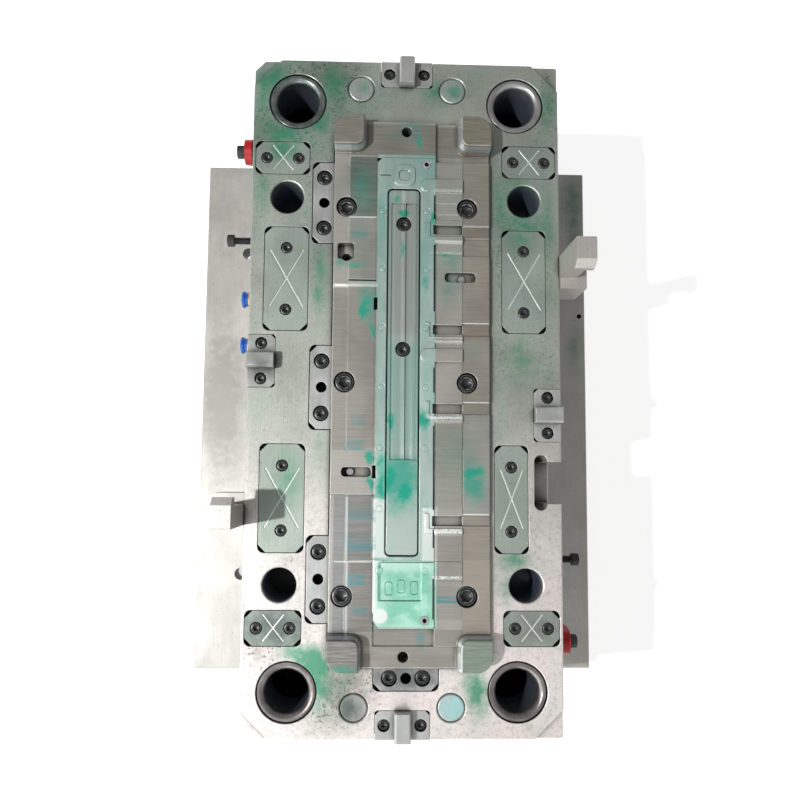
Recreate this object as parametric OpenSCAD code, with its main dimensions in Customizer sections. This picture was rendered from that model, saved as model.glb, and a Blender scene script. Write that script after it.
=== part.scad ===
// Moving half of a two-plate injection mould, parting face up.
// The origin is the bottom centre of the clamp plate, +Y runs along the mould, +Z opens it.

/* [Mould base] */
// Width of the core, support and spacer stack
base_w = 300; // [290:5:340]
// Length of every plate
base_l = 650; // [640:10:760]
// Width of the clamp plate
clamp_w = 500; // [440:10:600]
// Thickness of the clamp plate
clamp_t = 35; // [30:1:50]
// Height of the spacer blocks
spacer_h = 150; // [140:5:200]
// Width of each spacer block
spacer_w = 58; // [50:1:60]
// Thickness of the support plate
support_t = 80; // [70:5:110]
// Thickness of the core plate
core_t = 60; // [56:1:80]
// Chamfer on all plate edges
plate_chamfer = 1; // [0.5:0.1:2]
// Legs of the triangular pry recess on each corner
pry_leg = 27; // [20:1:30]
// Depth of the pry recess
pry_depth = 5; // [3:0.5:8]
// Chamfer on the one corner that marks the assembly side
key_corner = 10; // [5:1:12]

/* [Guide bushes] */
// Bore of the guide bushes
bush_bore_d = 40; // [36:1:44]
// Outer diameter of the guide bushes
bush_d = 55; // [53:1:58]
// Diameter of the bush head under the core plate
bush_head_d = 60; // [59:1:66]
// Thickness of the bush head
bush_head_t = 8; // [6:1:12]
// Lead-in radius of the bush bore
bush_lead = 5; // [3:0.5:6]
// How far the bush sits below the parting face
bush_recess = 1; // [0.5:0.5:3]
// Distance from a bush axis to the side of the plate
bush_edge_x = 43; // [40:1:50]
// Distance from a bush axis to the end of the plate
bush_edge_y = 42.5; // [40:0.5:50]
// Diameter of the friction puller holes
puller_d = 32; // [25:1:36]
// Distance from a puller hole to the side of the plate
puller_edge_x = 34.5; // [30:0.5:40]
// Distance from a puller hole to the end of the plate
puller_edge_y = 139.5; // [136:0.5:143]

/* [Return pins and springs] */
// Diameter of the return pins
return_d = 25; // [20:1:28]
// Distance from a return pin to the centre plane
return_x = 45; // [42:1:50]
// Distance from a return pin to the end of the plate
return_edge_y = 28.5; // [28:0.5:32]
// Outer diameter of the return springs
spring_d = 50; // [44:1:52]
// Wire width of the return springs
spring_wire = 8; // [6:0.5:8.5]
// Turns of each return spring
spring_turns = 8; // [5:1:11]
// Depth of the spring pockets in the support plate
spring_pocket = 30; // [20:1:40]

/* [Ejector box] */
// Stroke of the ejector plates
ejector_stroke = 45; // [25:1:55]
// Thickness of the ejector base plate
ejector_base_t = 25; // [20:1:30]
// Thickness of the ejector retainer plate
retainer_t = 20; // [18:1:25]
// Gap between the ejector plates and each spacer block
ejector_gap = 2; // [1:0.5:4]
// Height of the stop buttons
button_h = 5; // [4:1:8]
// Diameter of the stop buttons
button_d = 25; // [20:1:28]
// Diameter of the support pillars
pillar_d = 40; // [34:1:42]
// Diameter of the ejector guide pins
guide_pin_d = 20; // [16:1:22]
// Outer diameter of the ejector guide bushes
guide_bush_d = 30; // [28:1:32]
// Diameter of the stroke limiter sleeves
limiter_d = 28; // [24:1:30]
// Diameter of the ejector pins
ejector_pin_d = 6; // [4:0.5:7]
// Diameter of the two runner puller pins
puller_pin_d = 6.5; // [5:0.5:8]
// Diameter of the knock-out hole in the clamp plate
knockout_d = 50; // [40:1:60]

/* [Core insert] */
// Width of plate beside the insert, the mean of both sides
insert_side = 75; // [73:0.5:76]
// Length of plate beyond each end of the insert
insert_end = 65; // [62:0.5:67]
// Sideways place of the insert's centre
insert_shift = 5.5; // [4:0.5:7]
// Depth of the insert pocket
pocket_depth = 40; // [34:1:42]
// Height of the insert's end benches above the parting face
bench_h = 4; // [2:0.5:5]
// Height of the part's core face above the parting face
part_h = 9; // [8.5:0.5:12]
// Height of the corner heels above the parting face
heel_h = 24; // [18:1:30]
// Slope of the heel walls, as width at the foot
heel_slope = 3.5; // [3:0.5:7]
// Length of the insert beyond each end of the part's core face
part_end = 36.5; // [35:0.5:40]
// Width of the part's core face
part_w = 56.5; // [55:0.5:60]
// Width of the shut-off strip on the left
left_strip_w = 14.5; // [13:0.5:16]
// Width of the shut-off strip on the right
right_strip_w = 26; // [24:0.5:27]
// Depth of the rib pockets below their field
rib_depth = 4; // [2:0.5:6]
// Width of the rib pockets
rib_w = 9.2; // [7:0.1:10]

/* [Centre core] */
// Width of the centre core
centre_w = 32; // [30:0.5:34]
// Length of the part's core face beyond both ends of the centre core
centre_rest = 96; // [93:1:101]
// Depth of its seat below the parting face
centre_seat = 16; // [12:1:20]
// Width of the groove around its top
centre_groove = 1.4; // [1:0.1:2]
// Depth of the groove around its top
centre_groove_depth = 7; // [4:0.5:9]

/* [Wear plates and wedges] */
// Length of the small wear plates
small_l = 52; // [49:1:54]
// Width of the small wear plates
small_w = 32; // [30:1:34]
// Distance from a large wear plate to the end of the mould
large_end = 169.5; // [168:0.5:172]
// Distance from a large wear plate to the mould's centre
middle_half = 54.5; // [53:0.5:57]
// Width of the large wear plates
large_w = 42; // [40:1:44]
// Width of the narrow wear plate by the notch
narrow_w = 31.5; // [30:0.5:33]
// Thickness of the wear plates
wear_t = 10; // [9:0.5:12]
// Corner chamfer of the wear plates
wear_chamfer = 7; // [5:0.5:8]
// Width of the oil grooves
groove_w = 1.4; // [1:0.1:2]
// Depth of the oil grooves
groove_depth = 0.8; // [0.5:0.1:1.2]
// Width of the insert wedges at the top
wedge_w = 21; // [19:0.5:22]
// Length of the side wedges
wedge_l = 80; // [74:1:84]
// Length of the end wedge
end_wedge_l = 60; // [56:1:64]
// Depth of the wedges
wedge_depth = 28; // [24:1:32]
// Narrowing of a wedge from top to foot
wedge_taper = 3; // [1:0.5:4]

/* [Side locks, hooks and straps] */
// Length of the side locks
lock_l = 50.5; // [48:0.5:54]
// Depth of the side locks from the plate's edge
lock_w = 26; // [24:0.5:27]
// Depth of the lock pockets
lock_depth = 20; // [16:1:24]
// Width of the lock tongue
tongue_w = 15; // [12:0.5:18]
// Height of the lock tongue
tongue_h = 13; // [8:1:18]
// Height of the hook heads above the parting face
hook_h = 71; // [60:1:85]
// Width of the hook bars
hook_w = 18; // [15:1:20]
// Width of the hook feet
hook_foot_w = 30; // [28:1:34]
// Height of the hook feet
hook_foot_h = 50; // [44:1:54]
// Distance of the hooks from the mould's centre
hook_y = 120; // [114:1:124]
// Length of the notch in the right side
notch_l = 40; // [36:1:42]
// Depth of the notch in the right side
notch_w = 26; // [22:1:28]
// Distance between the holes of a safety strap
strap_pitch = 76; // [60:1:79]
// Width of the safety straps
strap_w = 25; // [20:1:26]
// Thickness of the safety straps
strap_t = 7.5; // [5:0.5:8]
// Lean of the left safety strap about its pivot, in degrees
strap_lean = 20; // [0:1:30]
// Distance of the strap pivots from the end of the mould
strap_edge_y = 83.5; // [79:0.5:86]

/* [Fits] */
// Radial clearance of a running fit
running = 0.04; // [0.02:0.01:0.08]
// Radial clearance of a screw in its thread or a dowel in its hole
seat_gap = 0.05; // [0.02:0.01:0.1]
// Radial clearance of a through hole
through_gap = 0.5; // [0.4:0.1:1]

/* [Hidden] */
$fn = 48;
far = 1000;
eps = 0.01;

z_clamp = clamp_t;
z_support = z_clamp + spacer_h;
z_core = z_support + support_t;
z_part = z_core + core_t;
z_floor = z_part - pocket_depth;
z_base_plate = z_clamp + button_h;
z_retainer = z_base_plate + ejector_base_t;
z_retainer_top = z_retainer + retainer_t;
z_support_mid = z_support + support_t / 2;
z_core_mid = z_core + core_t / 2;

bush_x = base_w / 2 - bush_edge_x;
bush_y = base_l / 2 - bush_edge_y;
puller_x = base_w / 2 - puller_edge_x;
puller_y = base_l / 2 - puller_edge_y;
strap_y = base_l / 2 - strap_edge_y;
return_y = base_l / 2 - return_edge_y;
spacer_x = base_w / 2 - spacer_w / 2;
ejector_w = base_w - 2 * spacer_w - 2 * ejector_gap;
ejector_l = base_l - 10;
limiter_h = z_support - z_retainer_top - ejector_stroke - 0.3;

insert_w = base_w - 2 * insert_side;
insert_l = base_l - 2 * insert_end;
part_l = insert_l - 2 * part_end;
centre_l = part_l - centre_rest;
insert_x0 = insert_shift - insert_w / 2;
insert_x1 = insert_shift + insert_w / 2;
insert_y1 = insert_l / 2;
part_x0 = -part_w / 2;
part_x1 = part_w / 2;
part_y0 = -part_l / 2;
part_y1 = part_l / 2;
left_strip_x = insert_x0 + left_strip_w;
right_strip_x = insert_x1 - right_strip_w;
centre_x = -2.2;
centre_y = 17.3;
centre_r = 5;

// Screw sizes: nominal diameter, then head diameter, counterbore and hexagon across flats
screw_sizes = [[6, 10, 11.5, 5], [8, 13, 15, 6], [10, 16, 18, 8], [12, 18, 20, 10], [16, 24, 26, 14]];
function screw_row(d) = [for (row = screw_sizes) if (row[0] == d) row][0];
function head_d(d) = screw_row(d)[1];
function cbore_d(d) = screw_row(d)[2];
function socket_af(d) = screw_row(d)[3];

corners = [[-1, 1], [1, 1], [-1, -1], [1, -1]];

// Pocket room round the insert, and the radius of the insert's upright corners
pocket_gap = 1.2;
insert_r = 14;
insert_screw_x = [insert_x0 + 12, insert_x1 - 21.5];
insert_screw_y = [insert_y1 - 85.5, 4.5, 65 - insert_y1];
insert_screw_seat = z_part - 8;
insert_screw_l = 46;
centre_screw_y = [centre_y + centre_l / 2 - 34.3, 36.4];
centre_screw_seat = z_part - 4;
centre_screw_l = 30;

cap_screw_end = base_l / 2 - 97;
cap_screw_y = [-cap_screw_end, -75, 75, cap_screw_end];
cap_screw_grip = z_core + 28;
pillar_x = ejector_w / 2 - 26;
pillar_places = [for (c = corners, y = [50, base_l / 2 - 155]) [c[0] * pillar_x, c[1] * y]];
guide_pin_x = ejector_w / 2 - 22;
guide_pin_y = base_l / 2 - 93;
ejector_pitch = (part_l / 2 - 52.5) / 3;
ejector_rows = [for (k = [-3:3]) ejector_pitch * k];
ejector_x = [-22.4, 20];
puller_places = [[left_strip_x + 4.1, -80], [right_strip_x - 0.5, 105.5]];
limiter_end = base_l / 2 - 95;
limiter_y = [-limiter_end, -70, 70, limiter_end];
button_places = [for (c = corners, y = [105, base_l / 2 - 85]) [c[0] * 36, c[1] * y]];
ejector_screw_x = ejector_w / 2 - 12;
ejector_screw_end = base_l / 2 - 57;
ejector_screw_places = [
    for (c = corners) [c[0] * ejector_screw_x, c[1] * 110],
    [-ejector_screw_x, 0], [ejector_screw_x, 0], [0, ejector_screw_end], [0, -ejector_screw_end]
];
ejector_screw_seat = 10;
ejector_screw_grip = 16;
rod_thread_d = 17.5;
rod_thread_depth = 19;
guide_pin_foot = 14;
guide_pin_tail = 19;
guide_flange = 5;
guide_flange_side = 2.5;
button_screw_d = 6;
button_screw_l = 14;
return_head_t = 8;
return_head_side = 3;
pin_head_t = 5;
pin_head_side = 2;
puller_pin_h = 3;
limiter_seat = 10;
limiter_screw_grip = 16;

wedge_ys = [insert_y1 - 79.5, 0, 80 - insert_y1];
wedge_r = 6;
wedge_edge = 6.5;
wedge_relief = 0.8;
wedge_relief_depth = 6;
wedge_screw_pitch = 25;
end_wedge_x = 3;
end_wedge_screw_pitch = 15.5;
wedge_screw_side = 11;
lock_side_y = 24.8;
lock_screw_pitch = 17;
lock_screw_side = 12.8;
lock_room = 0.4;
lock_pocket_r = 3.5;
clamp_hole_d = 14.8;
clamp_hole_x = 196;
clamp_hole_y = base_l / 2 - 117;
small_hole_d = 6;
small_hole_edge_x = 7.5;
small_hole_y = 130.5;
blind_depth = 15;
cap_screw_seat = 18;
pillar_screw_seat = 12;
pillar_screw_grip = 22;
eyebolt_d = 17.5;
eyebolt_depth = 30;
eyebolt_rise = 20;
side_screw_y = 170;
side_screw_out = 32;
side_screw_grip = 18;
fitting_ys = [55, 105];
fitting_d = 18;
fitting_hex = 17;
fitting_l = 15;
port_r = 6.5;
port_depth = 14;
channel_d = 8;
notch_y = -89;
notch_bone = 6.3;
strap_gap = 4;
strap_play = 0.3;
strap_washer_d = 20;
strap_screw_grip = 18;
hook_d = 18;
hook_lip = 7.5;
hook_foot_d = 28;
hook_foot_top = -4;
hook_screw_zs = [-16, -40];
hook_screw_y = -4.5;
hook_head_room = 9;
hook_screw_grip = 20;
hook_side = 1.5;

// Places of the wear plates: centre, size across X and Y
small_x = base_w / 2 - 29.5;
small_y = base_l / 2 - 100.2;
large_x = base_w / 2 - 35;
large_l = base_l / 2 - large_end - middle_half;
large_y = (base_l / 2 - large_end + middle_half) / 2;
narrow_x = large_x - 13;
all_wear_plates = [
    [-small_x, small_y, small_l, small_w], [small_x, small_y, small_l, small_w],
    [-small_x, -small_y, small_l, small_w], [small_x, -small_y, small_l, small_w],
    [-large_x, large_y, large_w, large_l], [large_x, large_y, large_w, large_l],
    [-large_x, -large_y, large_w, large_l], [narrow_x, -large_y, narrow_w, large_l]
];
small_screw_end = 10.6;
large_screw_end = 20.2;
wear_screw_seat = 6.5;
wear_screw_l = 19;
wear_bone = 6;
wear_room = 0.6;

// Fields of the insert's face, from the centre planes: X and Y ranges and height above the parting face
end_bench = 20;
tall_bench = 40;
fields = [
    [insert_x0, left_strip_x, 99, insert_y1 - end_bench, 7.4],
    [left_strip_x, part_x1, part_y1, insert_y1, 8],
    [left_strip_x, part_x0, 164.5, part_y1, 8.2],
    [left_strip_x, part_x0, 103.2, 164.5, 7.6],
    [insert_x0, left_strip_x, -59, 95, 6.6],
    [left_strip_x, part_x0, -101, 98, 7],
    [insert_x0, left_strip_x, -101, -59, 7],
    [insert_x0, left_strip_x, -162.7, -101, 5.2],
    [left_strip_x, part_x0, -162.7, -101, 6],
    [insert_x0, left_strip_x, end_bench - insert_y1, -162.7, 4.8],
    [left_strip_x, part_x0, end_bench - insert_y1, -162.7, 5.4],
    [part_x1, right_strip_x, 191.4, insert_y1 - tall_bench, 7.6],
    [part_x1, right_strip_x, 178.7, 191.4, 8.3],
    [part_x1, right_strip_x, 167.9, 178.7, 7.8],
    [part_x1, right_strip_x, 162.5, 167.9, 7.4],
    [part_x1, right_strip_x, 146, 162.5, 8],
    [part_x1, right_strip_x, 127.4, 146, 7.4],
    [part_x1, right_strip_x, -162.7, 127.4, 7.6],
    [part_x1, right_strip_x, -182, -162.7, 8],
    [part_x1, right_strip_x, end_bench - insert_y1, -185.5, 7.2],
    [part_x1, insert_x1, 85.7, 127.4, 7],
    [right_strip_x, insert_x1, 157.4, insert_y1 - tall_bench, 7],
    [right_strip_x, insert_x1, 145.7, 157.4, 5.6],
    [right_strip_x, insert_x1, 127.4, 145.7, 5.2],
    [right_strip_x, insert_x1, 61.5, 85.7, 7],
    [right_strip_x, insert_x1, 49.6, 61.5, 5.6],
    [right_strip_x, insert_x1, -14.2, 49.6, 7],
    [right_strip_x, insert_x1, -25.6, -14.2, 5.6],
    [right_strip_x, insert_x1, -119.9, -25.6, 6.8],
    [right_strip_x, insert_x1, -130, -119.9, 5.6],
    [right_strip_x, insert_x1, end_bench - insert_y1, -130, 7]
];
// Slopes of the insert's face that fall towards -Y: X and Y ranges, height at the front and at the back
ramps = [
    [insert_x0, left_strip_x, 95, 99, 6.6, 7.4],
    [left_strip_x, part_x0, 98, 102, 7, 7.5],
    [part_x1, right_strip_x, -185.5, -182, 7.2, 8],
    [insert_x0 + 32, right_strip_x, end_bench - insert_y1 - 7, end_bench - insert_y1, bench_h, 5.4]
];
rib_ys = [153, 55.4, -20.2, -125.3];
tab_ys = [part_y1 - 26.9, 30.7];
slot_runs = [[163, 187], [73, 138], [-5, 19], [-115, -36], [-150, -133], [-215, -178]];
rib_wall = 4;
rib_floor = 6.4;
part_rise = 0.8;

// Small features of the insert's face
heel_x = 28.3;
heel_y = 28.5;
heel_r = 7;
heel_edge = [[0.8, 0], [0.2, 0.2], [0, 0.8]];
gate_ys = [80, -80];
gate_l = 12;
gate_w = 3.4;
left_runner = [left_strip_x + 9.8, -80.2, 28, 9];
runner_well = [left_strip_x, -80.2, 8.6, 8];
right_runner = [right_strip_x - 2.1, 106.5, 30, 9.6];
square_pocket = [insert_x0 + 11.9, 131.1, 16, 16.3];
pocket_hole = [insert_x0 + 12.4, 126.2];
jack_d = 10.2;
end_hole_y = insert_y1 - 10;
button_place = [-1.8, part_y1 - 17.3];
button_size = 20.5;
label_panel = [-3.4, part_y0 + 42.5, 39, 35.3];
core_pin_d = 8;
core_pin_x = 19.6;
core_pin_ys = [part_y1 - 6.2, part_y0 + 7.3];
core_pin_foot = 20;

steel = "silver";
black_steel = "#26282b";
ground_steel = "#c9cbc9";
teal_steel = "#9db8ac";

module at_corners(x, y) {
    for (c = corners) translate([c[0] * x, c[1] * y, 0]) children();
}

module chamfer_outline(x, y, c) {
    polygon([
        [-x / 2 + c, -y / 2], [x / 2 - c, -y / 2], [x / 2, -y / 2 + c], [x / 2, y / 2 - c],
        [x / 2 - c, y / 2], [-x / 2 + c, y / 2], [-x / 2, y / 2 - c], [-x / 2, -y / 2 + c]
    ]);
}

// A block centred in X and Y that stands on z = 0, with every edge chamfered
module plate_block(x, y, z, c) {
    intersection() {
        linear_extrude(z) chamfer_outline(x, y, c);
        translate([0, y / 2, z / 2]) rotate([90, 0, 0]) linear_extrude(y) chamfer_outline(x, z, c);
        translate([-x / 2, 0, z / 2]) rotate([90, 0, 90]) linear_extrude(x) chamfer_outline(y, z, c);
    }
}

module round_outline(x, y, r) {
    square([x - 2 * r, y], center = true);
    square([x, y - 2 * r], center = true);
    for (c = corners) translate([c[0] * (x / 2 - r), c[1] * (y / 2 - r)]) circle(r);
}

// A socket head cap screw: the head seat is z = 0 and the shank points down
module cap_screw(d, l) {
    top = d / 12;
    difference() {
        union() {
            rotate_extrude() polygon([
                [0, 0], [head_d(d) / 2, 0], [head_d(d) / 2, d - top], [head_d(d) / 2 - top, d], [0, d]
            ]);
            translate([0, 0, -l]) cylinder(d = d, h = l + eps);
        }
        translate([0, 0, d / 2]) cylinder(d = socket_af(d) / cos(30), h = d, $fn = 6);
    }
}

// The room a cap screw needs: counterbore above the seat, clearance or thread below it
module screw_room(d, l, grip) {
    cylinder(d = cbore_d(d), h = far);
    translate([0, 0, -grip]) cylinder(r = d / 2 + through_gap, h = grip + eps);
    translate([0, 0, -l - 1]) cylinder(r = d / 2 + seat_gap, h = l + 1);
}

module clamp_plate() {
    color(steel) difference() {
        plate_block(clamp_w, base_l, clamp_t, plate_chamfer);
        translate([0, 0, -1]) cylinder(d = knockout_d, h = far);
        at_corners(clamp_hole_x, clamp_hole_y) translate([0, 0, -1]) cylinder(d = clamp_hole_d, h = far);
        translate([clamp_w / 2 - small_hole_edge_x, small_hole_y, clamp_t - blind_depth])
            cylinder(d = small_hole_d, h = far);
        for (x = [-spacer_x, spacer_x], y = cap_screw_y) translate([x, y, cap_screw_seat]) {
            cylinder(r = 8 + through_gap, h = far);
            translate([0, 0, -far]) cylinder(d = cbore_d(16), h = far);
        }
        for (p = pillar_places) translate([p[0], p[1], pillar_screw_seat]) {
            cylinder(r = 5 + through_gap, h = far);
            translate([0, 0, -far]) cylinder(d = cbore_d(10), h = far);
        }
        for (p = button_places) translate([p[0], p[1], clamp_t - blind_depth])
            cylinder(r = button_screw_d / 2 + seat_gap, h = far);
        at_corners(guide_pin_x, guide_pin_y) translate([0, 0, clamp_t - blind_depth])
            cylinder(r = guide_pin_d / 2 + seat_gap, h = far);
    }
}

module spacer_block(side) {
    color(steel) difference() {
        translate([side * spacer_x, 0, z_clamp]) plate_block(spacer_w, base_l, spacer_h, plate_chamfer);
        for (y = cap_screw_y) translate([side * spacer_x, y, 0]) cylinder(r = 8 + through_gap, h = far);
    }
}

module support_plate() {
    color(steel) difference() {
        translate([0, 0, z_support]) plate_block(base_w, base_l, support_t, plate_chamfer);
        at_corners(bush_x, bush_y) translate([0, 0, z_support + 5]) cylinder(d = bush_bore_d + 2, h = far);
        at_corners(return_x, return_y) {
            cylinder(r = return_d / 2 + through_gap, h = far);
            translate([0, 0, z_support + spring_pocket - far]) cylinder(d = spring_d + 3, h = far);
        }
        for (x = ejector_x, y = ejector_rows) translate([x, y, 0])
            cylinder(r = ejector_pin_d / 2 + through_gap, h = far);
        for (p = puller_places) translate(p) cylinder(r = puller_pin_d / 2 + through_gap, h = far);
        for (x = [-spacer_x, spacer_x], y = cap_screw_y) translate([x, y, 0])
            cylinder(r = 8 + through_gap, h = far);
        at_corners(guide_pin_x, guide_pin_y) translate([0, 0, z_support + guide_pin_tail + 1 - far])
            cylinder(r = guide_pin_d / 2 + seat_gap, h = far);
        side_screw_places() translate([0, 0, -side_screw_out - side_screw_grip - 2])
            cylinder(r = 4 + seat_gap, h = far);
        for (y = fitting_ys) translate([-base_w / 2, y, z_support_mid]) rotate([0, 90, 0]) {
            translate([0, 0, -1]) cylinder(r = port_r + seat_gap, h = port_depth + 1);
            cylinder(d = channel_d, h = base_w / 2 - guide_pin_x);
        }
        for (s = [-1, 1]) translate([s * base_w / 2, 0, z_support_mid]) rotate([0, s * 90, 0])
            translate([0, 0, -eyebolt_depth]) cylinder(d = eyebolt_d, h = far);
    }
}

// The frame of each part-driven side screw: +Z points out of the side, z = 0 under the head
module side_screw_places() {
    for (s = [-1, 1]) translate([s * (base_w / 2 + side_screw_out), -s * side_screw_y, z_support_mid])
        rotate([0, s * 90, 0]) children();
}

module side_screws() {
    color(black_steel) side_screw_places() cap_screw(8, side_screw_out + side_screw_grip);
}

module pry_recess(sx, sy) {
    translate([sx * base_w / 2, sy * base_l / 2, z_part - pry_depth]) linear_extrude(far) polygon([
        [sx, sy], [-sx * (pry_leg + 1), sy], [sx, -sy * (pry_leg + 1)]
    ]);
}

module bush_places() {
    at_corners(bush_x, bush_y) children();
}

module core_plate() {
    color(teal_steel) difference() {
        translate([0, 0, z_core]) plate_block(base_w, base_l, core_t, plate_chamfer);
        for (c = corners) pry_recess(c[0], c[1]);
        translate([-base_w / 2, base_l / 2, z_core - 1]) linear_extrude(far)
            polygon([[-1, 1], [key_corner + 1, 1], [-1, -key_corner - 1]]);
        bush_places() {
            cylinder(r = bush_d / 2 + seat_gap, h = far);
            translate([0, 0, z_core - 1]) cylinder(r = bush_head_d / 2 + seat_gap, h = bush_head_t + 1);
            translate([0, 0, z_part - 1]) cylinder(r1 = bush_d / 2 + seat_gap, r2 = bush_d / 2 + 2, h = 2);
        }
        at_corners(puller_x, puller_y) {
            cylinder(d = puller_d, h = far);
            translate([0, 0, z_part - 1]) cylinder(d1 = puller_d, d2 = puller_d + 4, h = 2);
        }
        at_corners(return_x, return_y) {
            cylinder(r = return_d / 2 + running, h = far);
            translate([0, 0, z_part - 1.5]) cylinder(d1 = return_d + 2 * running, d2 = return_d + 5, h = 2.5);
        }
        translate([insert_shift - pocket_gap / 2, -pocket_gap / 2, z_floor]) linear_extrude(far)
            round_outline(insert_w + pocket_gap, insert_l + pocket_gap, insert_r);
        for (x = insert_screw_x, y = insert_screw_y) translate([x, y, insert_screw_seat])
            screw_room(12, insert_screw_l, 0);
        for (x = ejector_x, y = ejector_rows) translate([x, y, 0])
            cylinder(r = ejector_pin_d / 2 + through_gap, h = far);
        for (p = puller_places) translate(p) cylinder(r = puller_pin_d / 2 + through_gap, h = far);
        for (y = wedge_ys) side_wedge_at(y) {
            wedge_pocket(wedge_l);
            wedge_screw_holes(wedge_screw_pitch);
        }
        end_wedge_at() {
            wedge_pocket(end_wedge_l);
            wedge_screw_holes(end_wedge_screw_pitch);
        }
        wear_plate_places(all_wear_plates) {
            translate([0, 0, z_part - wear_t]) linear_extrude(far)
                round_outline($wx + 2 * wear_room, $wy + 2 * wear_room, wear_bone);
            wear_screw_places($wx, $wy) screw_room(6, wear_screw_l + 1, 0);
        }
        lock_places(["back", "front", "left", "right"]) {
            translate([0, 0, -lock_depth]) linear_extrude(far)
                round_outline(lock_l + 2 * lock_room, 2 * (lock_w + lock_room), lock_pocket_r);
            lock_screw_places() screw_room(6, 25, 0);
        }
        notch();
        hook_places([-1, 1]) hook_screw_places()
            translate([0, 0, hook_head_room - hook_foot_d - hook_screw_grip - 2]) cylinder(r = 4 + seat_gap, h = far);
        strap_places([-1, 1]) translate([0, 0, -strap_screw_grip - 2]) cylinder(r = 4 + seat_gap, h = far);
        for (x = [-spacer_x, spacer_x], y = cap_screw_y) translate([x, y, 0])
            cylinder(r = 8 + seat_gap, h = cap_screw_grip + 2);
        for (s = [-1, 1]) translate([0, s * base_l / 2, z_core + eyebolt_rise]) rotate([-s * 90, 0, 0])
            translate([0, 0, -eyebolt_depth]) cylinder(d = eyebolt_d, h = far);
    }
}

module notch() {
    depth = notch_w - notch_bone;
    translate([base_w / 2, notch_y, z_core - 1]) linear_extrude(far) {
        translate([-depth - notch_bone, -notch_l / 2]) square([far, notch_l]);
        for (s = [-1, 1]) translate([-depth, s * notch_l / 2]) circle(notch_bone);
    }
}

module guide_bushes() {
    h = core_t - bush_recess;
    color(ground_steel) bush_places() translate([0, 0, z_core]) rotate_extrude() difference() {
        union() {
            translate([bush_bore_d / 2, 0]) square([(bush_d - bush_bore_d) / 2, h]);
            translate([bush_bore_d / 2, 0]) square([(bush_head_d - bush_bore_d) / 2, bush_head_t]);
        }
        translate([bush_bore_d / 2, h - bush_lead]) difference() {
            square([bush_lead, bush_lead + 1]);
            translate([bush_lead, 0]) circle(bush_lead);
        }
        translate([bush_d / 2, h]) rotate(45) square(1.4, center = true);
    }
}

// Wedges taper in depth: the inner face is upright and the outer face leans in
module wedge_profile(l) {
    translate([0, l / 2, 0]) rotate([90, 0, 0]) linear_extrude(l) polygon([
        [0, far], [-wedge_w, far], [-wedge_w, 0], [-wedge_w + wedge_taper, -wedge_depth], [0, -wedge_depth]
    ]);
}

module wedge_body(l, chamfer) {
    intersection() {
        wedge_profile(l);
        translate([0, 0, -wedge_depth]) linear_extrude(wedge_depth) polygon([
            [0, -l / 2], [-wedge_w + chamfer, -l / 2], [-wedge_w, -l / 2 + chamfer],
            [-wedge_w, l / 2 - chamfer], [-wedge_w + chamfer, l / 2], [0, l / 2]
        ]);
    }
}

module wedge_outline(l) {
    translate([wedge_r - wedge_w, -l / 2]) square([wedge_w - wedge_r, l]);
    translate([-wedge_w, wedge_r - l / 2]) square([wedge_w, l - 2 * wedge_r]);
    for (s = [-1, 1]) translate([wedge_r - wedge_w, s * (l / 2 - wedge_r)]) circle(wedge_r);
}

// The pocket of a wedge has round outer corners and opens a little at the top
module wedge_pocket(l) {
    intersection() {
        wedge_profile(l);
        translate([0, 0, -wedge_depth]) linear_extrude(far) wedge_outline(l);
    }
    translate([-wedge_relief, 0, -wedge_relief_depth]) linear_extrude(far) wedge_outline(l + 2 * wedge_relief);
}

module wedge_screw_holes(pitch) {
    for (s = [-1, 1]) translate([wedge_screw_side - wedge_w, s * pitch, -10])
        screw_room(8, 30, wedge_depth - 10);
}

module side_wedge_at(y) {
    translate([insert_x0, y, z_part]) children();
}

module end_wedge_at() {
    translate([end_wedge_x, -insert_y1, z_part]) rotate(90) children();
}

module wedge(l, pitch) {
    color(ground_steel) difference() {
        wedge_body(l, wedge_edge);
        wedge_screw_holes(pitch);
        translate([wedge_screw_side - wedge_w, 0, -far / 2]) cylinder(d = jack_d, h = far);
    }
}

module side_wedge(index) {
    side_wedge_at(wedge_ys[index]) wedge(wedge_l, wedge_screw_pitch);
}

module end_wedge() {
    end_wedge_at() wedge(end_wedge_l, end_wedge_screw_pitch);
}

module wedge_screws() {
    color(black_steel) {
        for (y = wedge_ys) side_wedge_at(y) wedge_screw_pair(wedge_screw_pitch);
        end_wedge_at() wedge_screw_pair(end_wedge_screw_pitch);
    }
}

module wedge_screw_pair(pitch) {
    for (s = [-1, 1]) translate([wedge_screw_side - wedge_w, s * pitch, -10]) cap_screw(8, 30);
}

module wear_plate_places(list) {
    for (p = list) translate([p[0], p[1], 0]) {
        $wx = p[2];
        $wy = p[3];
        children();
    }
}

module wear_screw_places(wx, wy) {
    along_x = wx > wy;
    pitch = along_x ? wx / 2 - small_screw_end : wy / 2 - large_screw_end;
    for (s = [-1, 1]) translate([along_x ? s * pitch : 0, along_x ? 0 : s * pitch, z_part - wear_screw_seat])
        children();
}

module wear_plate(index) {
    color(teal_steel) wear_plate_places([all_wear_plates[index]]) difference() {
        translate([0, 0, z_part - wear_t]) linear_extrude(wear_t) chamfer_outline($wx, $wy, wear_chamfer);
        wear_screw_places($wx, $wy) {
            cylinder(d = cbore_d(6), h = far);
            translate([0, 0, -far]) cylinder(r = 3 + through_gap, h = far + eps);
        }
        run = $wx > $wy ? [$wx / 2 - 16, $wy / 2 - 3.5] : [$wx / 2 - 5, $wy / 2 - 22.5];
        for (s = [-1, 1]) translate([0, 0, z_part - groove_depth]) linear_extrude(far)
            rotate(atan2(run[1], s * run[0])) square([2 * norm(run), groove_w], center = true);
    }
}

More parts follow.
